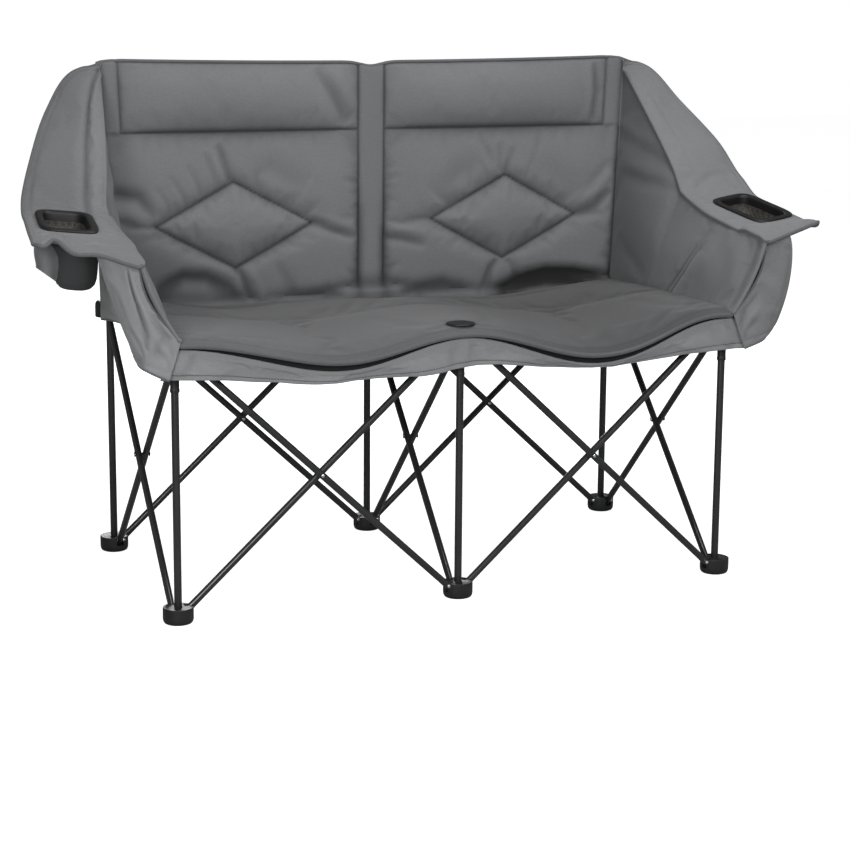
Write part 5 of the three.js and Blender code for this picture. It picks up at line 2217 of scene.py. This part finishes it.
    def eased(self, u: Points, v: Points) -> tuple[Points, Points]:
        """Draws the grid in to round the wing's two front corners.

        Args:
            u: shares of the way from the back to the front.
            v: shares of the way across.

        Returns:
            The moved shares.
        """
        width = self.width(u)
        for outer, radius in ((True, self.outer_corner), (False, self.inner_corner)):
            from_front = (1 - u) * self.length
            from_side = ((1 - v) if outer else v) * width
            a = np.clip(1 - from_front / radius, 0, 1)
            b = np.clip(1 - from_side / radius, 0, 1)
            share = np.where((a > 0) & (b > 0), np.maximum(a, b) / np.maximum(np.hypot(a, b), 1e-9), 1.0)
            u = np.where(a > 0, 1 - radius * (1 - a * share) / self.length, u)
            drawn = radius * (1 - b * share) / width
            v = np.where(b > 0, (1 - drawn) if outer else drawn, v)
        return u, v

    def thickness(self, u: Points, v: Points) -> Points:
        """Thickness of the wing's padding."""
        rim = np.minimum(np.minimum(arch(v) * 2, arch(u) * 2), 1.0)
        return mix(self.wing_edge, self.wing_thickness, np.sqrt(np.maximum(rim, 0)))

    def normal(self, u: Points, v: Points) -> Points:
        """The direction out of the wing's upper face."""
        return normals(self.middle, u, v)

    def offset(self, u: Points, v: Points, distance: Points) -> Points:
        """A point at a distance from the middle of the wing."""
        return self.middle(u, v) + self.normal(u, v) * np.asarray(distance)[..., None]

    def under(self, u: Points, v: Points) -> Points:
        """Just under the wing."""
        return self.offset(u, v, -self.thickness(u, v) / 2 - self.hang_gap)

    def hang(self, u: Points, v: Points) -> Points:
        """How far the wing's front and outer edges turn down.

        Args:
            u: shares of the way from the back to the front.
            v: shares of the way across.

        Returns:
            Distances.
        """
        front = np.clip(1 - (1 - u) * self.length / 18.0, 0, 1) ** 2 * self.apron
        outer = np.clip(1 - (1 - v) * self.width(u) / 16.0, 0, 1) ** 2 * self.apron * 0.55
        return np.maximum(front, outer) * ease(u / 0.05)

    def follow(self, piece: bpy.types.Object, slot: str) -> None:
        """Keeps a piece where it is, with its placement baked into its mesh.

        Args:
            piece: the piece.
            slot: not used.
        """
        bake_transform(piece)

    def wing(self) -> None:
        """The padded arm rest with its roll, its cut-out and its piping."""
        rows, columns = 160, 60
        u, v = share_grid(rows, columns)
        flat_u, flat_v = u, v
        u, v = self.eased(u, v)
        width = self.width(u)
        thick = self.thickness(flat_u, flat_v)
        roll_line = mix(0.30, 0.26, u) + 0.03 * np.sin(u * 9.0)
        from_roll = (v - roll_line) * width
        roll_share = ease((0.66 - u) / 0.12) * ease(u / 0.03) * self.habit.roll
        groove = bell(from_roll, 6.0) * 5.0 * roll_share
        swell = arch(np.clip(v / np.maximum(roll_line, 0.02), 0, 1)) * 5.5 * roll_share
        pinch = bell(u - 0.56, 0.02) * bell(v * width, 26.0) * 4.0 * self.habit.roll
        hem = bell((1 - v) * width - 11.0, 3.0) * 0.9
        up = thick / 2 - groove + swell - pinch - hem
        down = np.zeros(u.shape + (3,))
        down[..., 2] = self.hang(u, v)
        top = self.offset(u, v, up) - down
        low = self.offset(u, v, -thick / 2) - down
        share = self.cup.inside(self.middle(u, v))
        cells = (share[:-1, :-1] < 1) & (share[1:, :-1] < 1) & (share[1:, 1:] < 1) & (share[:-1, 1:] < 1)
        held = edges_of(rows, columns, 1) | (share < 1.22) | ((groove > 3.2) & (self.habit.roll > 0.5))
        top = self.wing_filling.settle(f"arm_rest_{self.side.word}", top, top - low, held)
        # Painted light and shade on the wing: dark in the roll's groove and along the hem, painted shade
        # outside the roll, painted light inside it, and painted light over most of a wing with little roll.
        outer_part = ease((from_roll - 4.0) / 24.0) * roll_share
        inner_part = ease((-4.0 - from_roll) / 10.0) * roll_share
        marks = bell(from_roll, 4.0) * roll_share * 0.8 + hem * 0.3 + outer_part * 0.42 - inner_part * 0.3
        marks = marks - 0.65 * (1 - self.habit.roll) * ease(u / 0.2)
        points, faces = closed_pad(self.mirrored(top), self.mirrored(low), 6, holes=cells)
        piece = make_piece(f"arm_rest_{self.side.word}", points, faces, self.finishes.cloth,
                           padded_shade(marks, len(points)))
        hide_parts(f"arm_wing_{self.side.word}")
        self.follow(piece, "grey_cloth")
        self.edging()

    def edging(self) -> None:
        """The tape that binds the wing's outer and front edges."""
        side_v = np.linspace(0, 1, 260)
        front_v = np.linspace(1, 0, 90)[1:]
        u = np.concatenate([side_v, np.ones_like(front_v)])
        v = np.concatenate([np.ones_like(side_v), front_v])
        inner_u, inner_v = self.eased(np.minimum(u, 0.985), np.minimum(v, 0.95))
        u, v = self.eased(u, v)
        down = np.zeros(u.shape + (3,))
        down[..., 2] = self.hang(u, v)
        lip = self.middle(u, v) - down
        out = unit(self.middle(u, v) - self.middle(inner_u, inner_v))
        path, faces = swept(self.mirrored(lip + out * 1.0), 3.5, 12)
        piping = make_piece(f"arm_piping_{self.side.word}", path, faces, self.finishes.trim)
        self.follow(piping, "grey_cloth")

    def panel(self) -> None:
        """The padded inner wall, with its double dart."""
        rows, columns = 120, 64
        u, v = share_grid(rows, columns)
        width = self.width(u)
        sheets = []
        for outer in (False, True):
            top = self.under(u, np.minimum(0.5, self.side_edge / width) if outer else np.zeros_like(u))
            bottom = np.stack([np.full_like(u, LINES.side_inner), top[..., 1],
                               LINES.back_bottom + self.side_front_rise * u * u], -1)
            if outer:
                bottom[..., 0] += self.side_edge
            point = mix(bottom, top, v[..., None])
            crown = np.minimum(1, arch(u) * 2) * arch(v)
            if outer:
                point[..., 0] += (self.side_thickness - self.side_edge) * crown
                point[..., 0] += self.edge_bow * arch(v) * ease((u - 0.8) / 0.2)
            else:
                point[..., 0] -= self.side_bulge * crown * arch(v)
                point[..., 0] += self.edge_bow * arch(v) * ease((u - 0.8) / 0.2)
            point[..., 1] = np.clip(point[..., 1], BAY.depth / 2 * -1.17 + 3, LINES.back_corner_front - 0.3)
            sheets.append(point)
        inner = sheets[0]
        y, z = inner[..., 1], inner[..., 2]
        darts = (
            Crease(((-112, 590), (-78, 528), (-25, 468)), 5.0, 3.2),
            Crease(((-99, 592), (-64, 530), (-10, 470)), 4.0, 2.2),
            Crease(((-145, 596), (-110, 540), (-55, 480)), 22.0, -4.0),
            Crease(((247, 765), (73, 718), (-57, 677)), 16.0, 2.2),
            Crease(((247, 785), (90, 742), (-40, 700)), 14.0, -1.2),
            Crease(((215, 690), (48, 667), (-99, 654)), 14.0, 1.8),
            Crease(((215, 708), (48, 690), (-90, 672)), 14.0, -1.0),
            Crease(((-170, 620), (-230, 575), (-262, 520)), 20.0, -3.4),
            Crease(((200, 560), (120, 520), (60, 480)), 16.0, 2.6),
            Crease(((180, 478), (60, 474), (-40, 476)), 10.0, 3.0),
        )
        down = sink(darts, y, z)
        calm = 0.3 + 0.5 * ease((40.0 - y) / 160.0)
        from_front = y - y.min()
        hem = bell(from_front - 15.0, 5.0) * np.minimum(1, arch(v) * 3)
        down = down + hem * 3.5
        seams = [stroke(y, z, list(dart.line), 3.2) for dart in darts[:2]]
        marks = np.clip(seams[0] + seams[1] + hem * 0.5, 0, 1)
        inner = inner + np.stack([down, np.zeros_like(down), np.zeros_like(down)], -1)
        held = edges_of(rows, columns, 1) | (seams[0] > 0.6) | (seams[1] > 0.6) | (hem > 0.7)
        settled = self.panel_filling.settle(f"arm_inner_{self.side.word}", inner, inner - sheets[1], held)
        inner = mix(inner, settled, calm[..., None])
        # Painted shade in the hollows of the settled cloth, and more painted shade towards the back.
        marks = marks + 0.25 * hollows(-inner[..., 0], 5, 6.0) + 0.6 * ease((y + 120) / 330)
        points, faces = closed_pad(self.mirrored(inner), self.mirrored(sheets[1]), 4)
        piece = make_piece(f"arm_inner_{self.side.word}", points, faces, self.finishes.cloth,
                           padded_shade(marks, len(points)))
        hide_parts(f"side_panel_{self.side.word}")
        self.follow(piece, "grey_cloth")

    def cover_lines(self) -> tuple[Curve3, Curve3]:
        """The lower line of the outer cover, and where its upper edge runs on the wing.

        Returns:
            Both lines.
        """
        table = np.array(self.cover_table)
        drawn = self.habit.draw_in * np.array(self.draw_shares)
        raised = self.habit.lift * np.array(self.lift_heights)
        low = np.stack([
            BAY.width + self.reach * table[:, 0] - drawn, BAY.depth / 2 * table[:, 1],
            mix(LINES.cover_bottom, LINES.arm_height, table[:, 2]) + raised], -1)
        return Curve3(low), Curve3(table[:, 3:6])

    def cover_middle(self, a: Points, b: Points) -> Points:
        """The middle of the outer cover's cloth.

        Args:
            a: shares of the way from the front to the back.
            b: shares of the way up.

        Returns:
            Points.
        """
        low_line, wing_line = self.cover_lines()
        on_wing = wing_line.at(a)
        top = self.under(np.minimum(1, on_wing[..., 0]), on_wing[..., 1])
        top[..., 2] -= self.cover_drop
        outward = np.cross(low_line.tangent(a), (0.0, 0.0, 1.0))
        outward[..., 2] = 0
        outward = unit(outward)
        point = mix(low_line.at(a), top, b[..., None])
        bulge = self.cover_bulge * self.habit.bulge * on_wing[..., 2] * np.sqrt(arch(b))
        point = point + outward * bulge[..., None]
        tuck = np.minimum(b / 0.35, np.maximum(0, (1 - b) / 0.65) ** 2.2)
        hollow = self.band_hollow * arch((b - 0.35) / 0.65)
        point[..., 0] -= (self.band_tuck * tuck - hollow) * np.maximum(0, 1 - a * 7)
        return point

    def cover(self) -> None:
        """The front band and the outer cover, one strip of cloth round the arm."""
        rows, columns = 150, 44
        u, v = share_grid(rows, columns)
        base = self.cover_middle(u, v)
        normal = normals(self.cover_middle, u, v)
        folds = self.cover_folds + (self.band_folds if self.side is Side.LEFT else ())
        relief = sink(folds, u * self.cover_length, v * self.cover_height) * np.minimum(1, arch(v) * 4)
        base = base - normal * relief[..., None]
        base = self.cover_filling.settle(f"arm_outer_{self.side.word}", base, normal,
                                         edges_of(rows, columns))
        hem = bell(v - 0.075, 0.016) * 0.6
        half = self.cover_thickness / 2
        outer = base + normal * (half - hem)[..., None]
        inner = base - normal * half
        points, faces = closed_pad(self.mirrored(outer), self.mirrored(inner), 3)
        # Painted shadow along the band's front edge and painted shade in the folds, with a darker hem line;
        # the habit's light share lightens the whole cover as painted light.
        edge_line = 1.3 * bell(u * self.cover_length, 4.0) * ease((v - 0.3) / 0.1)
        marks = hem + edge_line + hollows(-relief, 4, 3.0) * 0.8 - self.habit.light
        piece = make_piece(f"arm_outer_{self.side.word}", points, faces, self.finishes.cover,
                           padded_shade(marks, len(points), 1.0))
        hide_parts(f"arm_cover_{self.side.word}")
        self.follow(piece, "grey_cloth")
        t = np.linspace(0, 1, 120)
        high = mix(0.38, 1.0, t)
        for name, line in (("lower", self.cover_middle(t, np.zeros_like(t))),
                           ("front", self.cover_middle(np.zeros_like(t), high))):
            cord, cord_faces = swept(self.mirrored(line), 2.4, 10)
            tape = make_piece(f"cover_{name}_tape_{self.side.word}", cord, cord_faces, self.finishes.trim)
            self.follow(tape, "grey_cloth")
        self.tab()

    def tab(self) -> None:
        """A small dark loop of webbing sewn to the outer cover."""
        root = self.cover_middle(np.array([0.335]), np.array([0.93]))[0]
        out = unit(np.array([1.0, -0.35, -0.1]))
        shares = np.linspace(0, 1, 25)
        reach = arch(shares)[:, None] * 6.0
        rise = (shares - 0.5)[:, None] * 2.0 + reach * 0.5
        path = root + out * (reach + 1.0) + np.array([0.0, 0.0, 1.0]) * rise
        points, faces = swept(self.mirrored(path), 2.2, 10, 0.35)
        tab = make_piece(f"cover_tab_{self.side.word}", points, faces, self.finishes.lining)
        self.follow(tab, "dark_cloth")

    def holder(self) -> None:
        """The rim of the cup holder, its pouch, the band between them and the netting."""
        word = self.side.word
        place = CupPlace(self.side, middle=self.cup.middle, slope_back=self.habit.slope,
                         skew_along=self.habit.skew)
        lift = self.wing_thickness / 2 + 0.3
        rim = [(3.2, -0.2), (4.3, 1.2), (3.6, 3.0), (1.4, 4.2), (-3.4, 4.4), (-6.8, 3.7), (-8.4, 1.9),
               (-8.8, -1.0), (-9.2, -16.6), (-7.5, -16.6), (-7.0, -0.2)]
        rings = place.rings([(grow, lift + rise, 0.0) for grow, rise in rim])
        self.loops(f"cup_rim_{word}", rings, self.finishes.rim, f"cup_ring_{word}")
        top = lift - 14.9
        floor = top - 87.5
        outer = [(-4.4, top, 0.0), (-4.4, top - 4, 0.0), (-2.0, top - 14, 0.3), (1.5, top - 26, 0.7),
                 (2.5, top - 36, 1.0), (2.2, top - 54, 1.0), (1.2, top - 72, 1.0), (-1.5, top - 82, 1.0),
                 (-7.5, top - 88.5, 1.0), (-18.0, top - 90, 1.0)]
        inner = [(grow - 2.3, max(height, floor), share) for grow, height, share in reversed(outer)]
        rings = self.sagged(place, outer)
        rings += place.rings([(-33.0, top - 90.0, 1.0), (-33.0, floor, 1.0)])
        rings += self.sagged(place, inner)
        self.loops(f"cup_pouch_cloth_{word}", rings, self.finishes.pouch, f"cup_pouch_{word}")
        band = [(-4.1, top + 0.4, 0.0), (-3.0, top - 0.2, 0.0), (-2.9, top - 5.5, 0.06),
                (-2.2, top - 11.0, 0.2), (-3.2, top - 11.2, 0.2), (-4.0, top - 5.5, 0.06)]
        self.loops(f"cup_band_{word}", place.rings(band), self.finishes.lining, None)
        net = [(-9.9, top + 3.0, 0.0), (-9.9, top - 4, 0.0), (-7.0, top - 15, 0.3), (-3.5, top - 26, 0.7),
               (-2.6, top - 36, 1.0), (-3.0, top - 54, 1.0), (-5.0, top - 72, 1.0), (-11.0, top - 81, 1.0)]
        lined = [(grow - 0.8, height + (0.8 if grow < -10 else 0), share)
                 for grow, height, share in reversed(net)]
        table = net + [(-33.0, top - 83.0, 1.0), (-33.0, top - 82.0, 1.0)] + lined
        self.loops(f"cup_netting_{word}", place.rings(table), self.finishes.netting, None)
        self.flap()

    def flap(self) -> None:
        """The loose flap of cloth that hangs beside the pouch."""
        t, s = share_grid(24, 26)
        top = mix(np.array([704.0, -142.0, 636.0]), np.array([662.0, -124.0, 634.0]), t[..., None])
        low = mix(np.array([704.0, -150.0, 594.0]), np.array([664.0, -122.0, 566.0]), t[..., None])
        base = mix(top, low, (s * self.habit.flap)[..., None])
        base[..., 2] -= self.habit.drop
        base[..., 1] += 3.0 * np.sin(t * 7.0) * s + 6.0 * s * s
        base[..., 0] += 2.0 * np.sin(s * 5.0 + t * 2.0) * s
        normal = np.array([0.0, -1.0, 0.0])
        points, faces = closed_pad(self.mirrored(base + normal), self.mirrored(base - normal), 3)
        # The whole flap is lightened as painted light.
        piece = make_piece(f"cup_flap_{self.side.word}", points, faces, self.finishes.cover,
                           np.full(len(points), -0.9))
        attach(piece, f"arm_{self.side.word}")

    def sagged(self, place: CupPlace, table: list[tuple[float, float, float]]) -> list[Points]:
        """Rings of the pouch with soft folds.

        Args:
            place: where the cup holder sits.
            table: how far out, how high and how round each ring is.

        Returns:
            The rings.
        """
        rings = []
        for ring, (_, _, share) in zip(place.rings(table), table):
            angle = np.linspace(0, 2 * np.pi, len(ring), endpoint=False)
            middle = ring.mean(0)
            wave = 0.018 * np.sin(angle * 4 + share * 3) + 0.012 * np.sin(angle * 7 - share * 5)
            rings.append(middle + (ring - middle) * (1 + wave * share)[:, None])
        return rings

    def loops(self, name: str, rings: list[Points], finish: bpy.types.Material,
              node: str | None) -> None:
        """Makes a piece through rings of points, where the last ring joins the first.

        Args:
            name: the piece's name.
            rings: rings with as many points each.
            finish: its material.
            node: the node that it stands for, if any.
        """
        faces = tube_faces(len(rings), len(rings[0]), True)
        piece = make_piece(name, np.vstack(rings), faces, finish)
        if node is not None:
            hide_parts(node)
        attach(piece, f"arm_{self.side.word}")

    def build(self) -> None:
        """Makes every piece of the arm."""
        self.wing()
        self.panel()
        self.cover()
        self.holder()
        LOG.info("arm %s: rest, inner panel, outer cover, cup holder", self.side.word)


@dataclass
class FrontValance:
    """The strip of cloth that hangs in front of the hubs, and a black sheet behind it as painted shadow in
    the slit under the seat's lip.
    """

    finishes: Finishes
    seat: Seat
    thickness: float = 3.0
    front: float = -280.5
    dip: float = 23.0
    left_dip: float = 11.0
    wave: float = 4.0
    flare: float = 29.0
    tuck_end: float = 9.0
    slit: float = 4.0
    # Where the black sheet of painted shadow stands, and how far below the strip's edge it reaches.
    slit_mid: float = 10.0
    lining_front: float = -277.6
    lining_reach: float = 5.0
    filling: Filling = Filling(pressure=0.4, spare=0.02, bend=3.0, reach=4.0)
    folds: tuple[Crease, ...] = (
        Crease(((-478, 474), (-480, 424)), 9, -3.0),
        Crease(((-462, 474), (-464, 430)), 7, 2.0),
        Crease(((-439, 465), (-400, 440), (-366, 419)), 12, 2.0),
        Crease(((471, 476), (472, 422)), 8, -3.2),
        Crease(((456, 474), (458, 426)), 6, 2.0),
        Crease(((485, 474), (487, 426)), 6, 2.0),
        Crease(((-14, 470), (-26, 404)), 10, 1.6),
        Crease(((12, 470), (24, 410)), 10, 1.6),
        Crease(((0, 474), (-2, 404)), 9, -2.4),
    )

    def upper(self, x: Points) -> Points:
        """Height of the strip's upper edge: a dark slit stays under the seat's lip.

        Args:
            x: places across the seat.

        Returns:
            Heights.
        """
        y = np.full_like(x, self.front - self.thickness / 2)
        across = np.abs(x) / BAY.width
        slit = self.slit + self.slit_mid * arch(across)
        return self.seat.top(x, y) - self.seat.depth(x, y) - slit

    def sheet(self) -> tuple[Points, Points]:
        """The middle of the cloth, and the share of the way up.

        Returns:
            The points, and the shares of the way up.
        """
        x = np.linspace(-LINES.seat_half, LINES.seat_half, 260)
        v = np.linspace(0, 1, 26)
        v, x = np.meshgrid(v, x, indexing="ij")
        across = np.abs(x) / BAY.width
        low = LINES.cover_bottom - self.dip * arch(across) ** 2 - self.wave / 2 * arch(across * 2)
        low = low - self.left_dip * bell(x + 62, 75)
        y = np.full_like(x, self.front)
        wave = self.wave * arch(across) * np.cos(across * 6 * np.pi) * (1 - v)
        flare = np.sign(x) * (self.flare * (1 - v) + self.tuck_end) * across ** 8
        z = mix(low, self.upper(x), v)
        folds = sink(self.folds, x, z) * ease((1 - v) / 0.12)
        end = across ** 10 * np.sqrt(1 - v) * 8.0
        return np.stack([x + flare, y + wave + folds - end, z], -1), v

    def build(self) -> None:
        """Makes the strip, its hem, its stitches and the black sheet of painted shadow."""
        middle, v = self.sheet()
        outward = np.zeros_like(middle)
        outward[..., 1] = -1.0
        held = edges_of(*v.shape)
        held[0, 1:-1] = False
        held |= v > 0.72
        middle = self.filling.settle("front_skirt", middle, outward, held)
        half = np.array([0.0, self.thickness / 2, 0.0])
        hem = bell(v - 0.16, 0.03)
        outer = middle - half + np.stack([0 * hem, hem * 0.4, 0 * hem], -1)
        points, faces = closed_pad(outer, middle + half, 4)
        # The strip is lightened all over as painted light, with a darker line at its hem.
        piece = make_piece("front_skirt", points, faces, self.finishes.cover,
                           padded_shade(hem * 0.5 - 0.75, len(points), 1.0))
        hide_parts("front_valance")
        self.follow(piece, "grey_cloth")
        row = middle[4] - half
        thread = make_piece("skirt_stitches", *stitches(row, np.tile((0.0, -1.0, 0.0), (len(row), 1))),
                            self.finishes.thread)
        self.follow(thread, "grey_cloth")
        self.lining()

    def lining(self) -> None:
        """A black sheet behind the slit, from the seat's underside down behind the strip: painted shadow in
        the slit.
        """
        x = np.linspace(-LINES.seat_half + 2, LINES.seat_half - 2, 200)
        y = np.full_like(x, self.lining_front)
        high = self.seat.top(x, y) - self.seat.depth(x, y) - 0.5
        low = self.upper(x) - self.lining_reach
        share = np.linspace(0, 1, 6)[:, None]
        base = np.stack([np.tile(x, (6, 1)), np.tile(y, (6, 1)), mix(low, high, share)], -1)
        half = np.array([0.0, 0.6, 0.0])
        points, faces = closed_pad(base - half, base + half, 2)
        piece = make_piece("front_lining", points, faces, self.finishes.lining)
        self.follow(piece, "dark_cloth")

    def follow(self, piece: bpy.types.Object, slot: str) -> None:
        """Hangs a piece from the middle front hub."""
        draw_in(piece, slot, "front_top_middle")


# Studio


@dataclass
class Studio:
    """Floor, soft lights, backdrop and the camera of the photograph."""

    azimuth: float = -20.10
    elevation: float = 11.76
    roll: float = 0.43
    lens: float = 94.15
    place: tuple[float, float, float] = (-1.343, -3.735, 1.085)
    aim_height: float = 0.45
    lit_paper: float = 0.34
    seen_paper: float = 0.80
    paper_glow: float = 0.84
    room_fill: float = 0.22
    lamps: tuple[tuple[str, tuple[float, float, float], float, float], ...] = (
        ("overhead_softbox", (0.3, -0.7, 3.0), 1.0, 30.0),
        ("front_softbox", (0.9, -3.3, 2.1), 1.0, 43.0),
        ("low_softbox", (-1.6, -2.1, 1.1), 0.8, 26.0),
        ("rear_softbox", (0.5, 3.4, 1.7), 1.2, 44.0),
    )

    def camera(self) -> None:
        """Puts the camera where the photograph was taken."""
        a, e, r = (math.radians(v) for v in (self.azimuth, self.elevation, self.roll))
        back = Vector((math.sin(a) * math.cos(e), -math.cos(a) * math.cos(e), math.sin(e)))
        right = Vector((math.cos(a), math.sin(a), 0.0))
        up = back.cross(right)
        right_r = right * math.cos(r) + up * math.sin(r)
        up_r = up * math.cos(r) - right * math.sin(r)
        data = bpy.data.cameras.new("photo_camera")
        data.lens = self.lens
        data.sensor_width = 36.0
        data.clip_end = 100.0
        camera = bpy.data.objects.new("photo_camera", data)
        matrix = Matrix((right_r, up_r, back)).transposed().to_4x4()
        matrix.translation = Vector(self.place)
        camera.matrix_world = matrix
        bpy.context.scene.collection.objects.link(camera)
        bpy.context.scene.camera = camera

    def lamp(self, name: str, place: tuple[float, float, float], size: float, watts: float) -> None:
        """A soft square light aimed at the seat.

        Args:
            name: its name.
            place: where it hangs, in metres.
            size: its width.
            watts: its power.
        """
        data = bpy.data.lights.new(name, "AREA")
        data.size = size
        data.energy = watts
        lamp = bpy.data.objects.new(name, data)
        lamp.location = place
        aim = Vector(place) - Vector((0.0, 0.0, self.aim_height))
        lamp.rotation_euler = aim.to_track_quat("Z", "Y").to_euler()
        bpy.context.scene.collection.objects.link(lamp)

    def floor(self) -> None:
        """A pale floor that runs up into a backdrop and still takes the shadow."""
        profile = [(-9.0, 0.0), (6.0, 0.0), (7.5, 0.25), (8.6, 1.1), (9.0, 2.4), (9.0, 7.0)]
        points = [(x, y, z) for y, z in profile for x in (-12.0, 12.0)]
        faces = [[2 * k, 2 * k + 1, 2 * k + 3, 2 * k + 2] for k in range(len(profile) - 1)]
        mesh = bpy.data.meshes.new("studio_floor")
        mesh.from_pydata(points, [], faces)
        floor = bpy.data.objects.new("studio_floor", mesh)
        bpy.context.scene.collection.objects.link(floor)
        material = bpy.data.materials.new("studio_paper")
        material.use_nodes = True
        nodes, links = material.node_tree.nodes, material.node_tree.links
        nodes.clear()
        rays = nodes.new("ShaderNodeLightPath")
        shade = nodes.new("ShaderNodeMix")
        shade.data_type = "RGBA"
        shade.inputs["A"].default_value = (*[self.lit_paper] * 3, 1)
        shade.inputs["B"].default_value = (*[self.seen_paper] * 3, 1)
        links.new(rays.outputs["Is Camera Ray"], shade.inputs["Factor"])
        paper = nodes.new("ShaderNodeBsdfDiffuse")
        links.new(shade.outputs["Result"], paper.inputs["Color"])
        glow = nodes.new("ShaderNodeEmission")
        glow.inputs["Color"].default_value = (1, 1, 1, 1)
        strength = nodes.new("ShaderNodeMath")
        strength.operation = "MULTIPLY"
        strength.inputs[1].default_value = self.paper_glow
        links.new(rays.outputs["Is Camera Ray"], strength.inputs[0])
        links.new(strength.outputs[0], glow.inputs["Strength"])
        both = nodes.new("ShaderNodeAddShader")
        links.new(paper.outputs[0], both.inputs[0])
        links.new(glow.outputs[0], both.inputs[1])
        out = nodes.new("ShaderNodeOutputMaterial")
        links.new(both.outputs[0], out.inputs["Surface"])
        mesh.materials.append(material)

    def world(self) -> None:
        """An even white surround."""
        world = bpy.data.worlds.new("white_room")
        bpy.context.scene.world = world
        world.use_nodes = True
        nodes, links = world.node_tree.nodes, world.node_tree.links
        nodes.clear()
        rays = nodes.new("ShaderNodeLightPath")
        fill = nodes.new("ShaderNodeBackground")
        fill.inputs["Color"].default_value = (1, 1, 1, 1)
        fill.inputs["Strength"].default_value = self.room_fill
        white = nodes.new("ShaderNodeBackground")
        white.inputs["Color"].default_value = (1, 1, 1, 1)
        white.inputs["Strength"].default_value = 1.0
        choose = nodes.new("ShaderNodeMixShader")
        links.new(rays.outputs["Is Camera Ray"], choose.inputs[0])
        links.new(fill.outputs[0], choose.inputs[1])
        links.new(white.outputs[0], choose.inputs[2])
        out = nodes.new("ShaderNodeOutputWorld")
        links.new(choose.outputs[0], out.inputs["Surface"])

    def build(self) -> None:
        """Sets up everything round the loveseat."""
        bpy.context.scene.view_settings.view_transform = "Standard"
        self.camera()
        self.floor()
        self.world()
        for name, place, size, watts in self.lamps:
            self.lamp(name, place, size, watts)
        LOG.info("studio ready")


def main() -> None:
    """Builds the studio, the frame and the cloth in order."""
    logging.basicConfig(level=logging.INFO, format="%(name)s: %(message)s")
    Studio().build()
    finishes = Finishes()
    tubes = Tubework(finishes)
    tubes.build()
    PlasticDrums(finishes, tubes).build()
    seat = Seat(finishes)
    seat.build()
    BackPanel(finishes).build()
    for side in Side:
        Arm(finishes, side).build()
    FrontValance(finishes, seat).build()


if __name__ == "__main__":
    main()
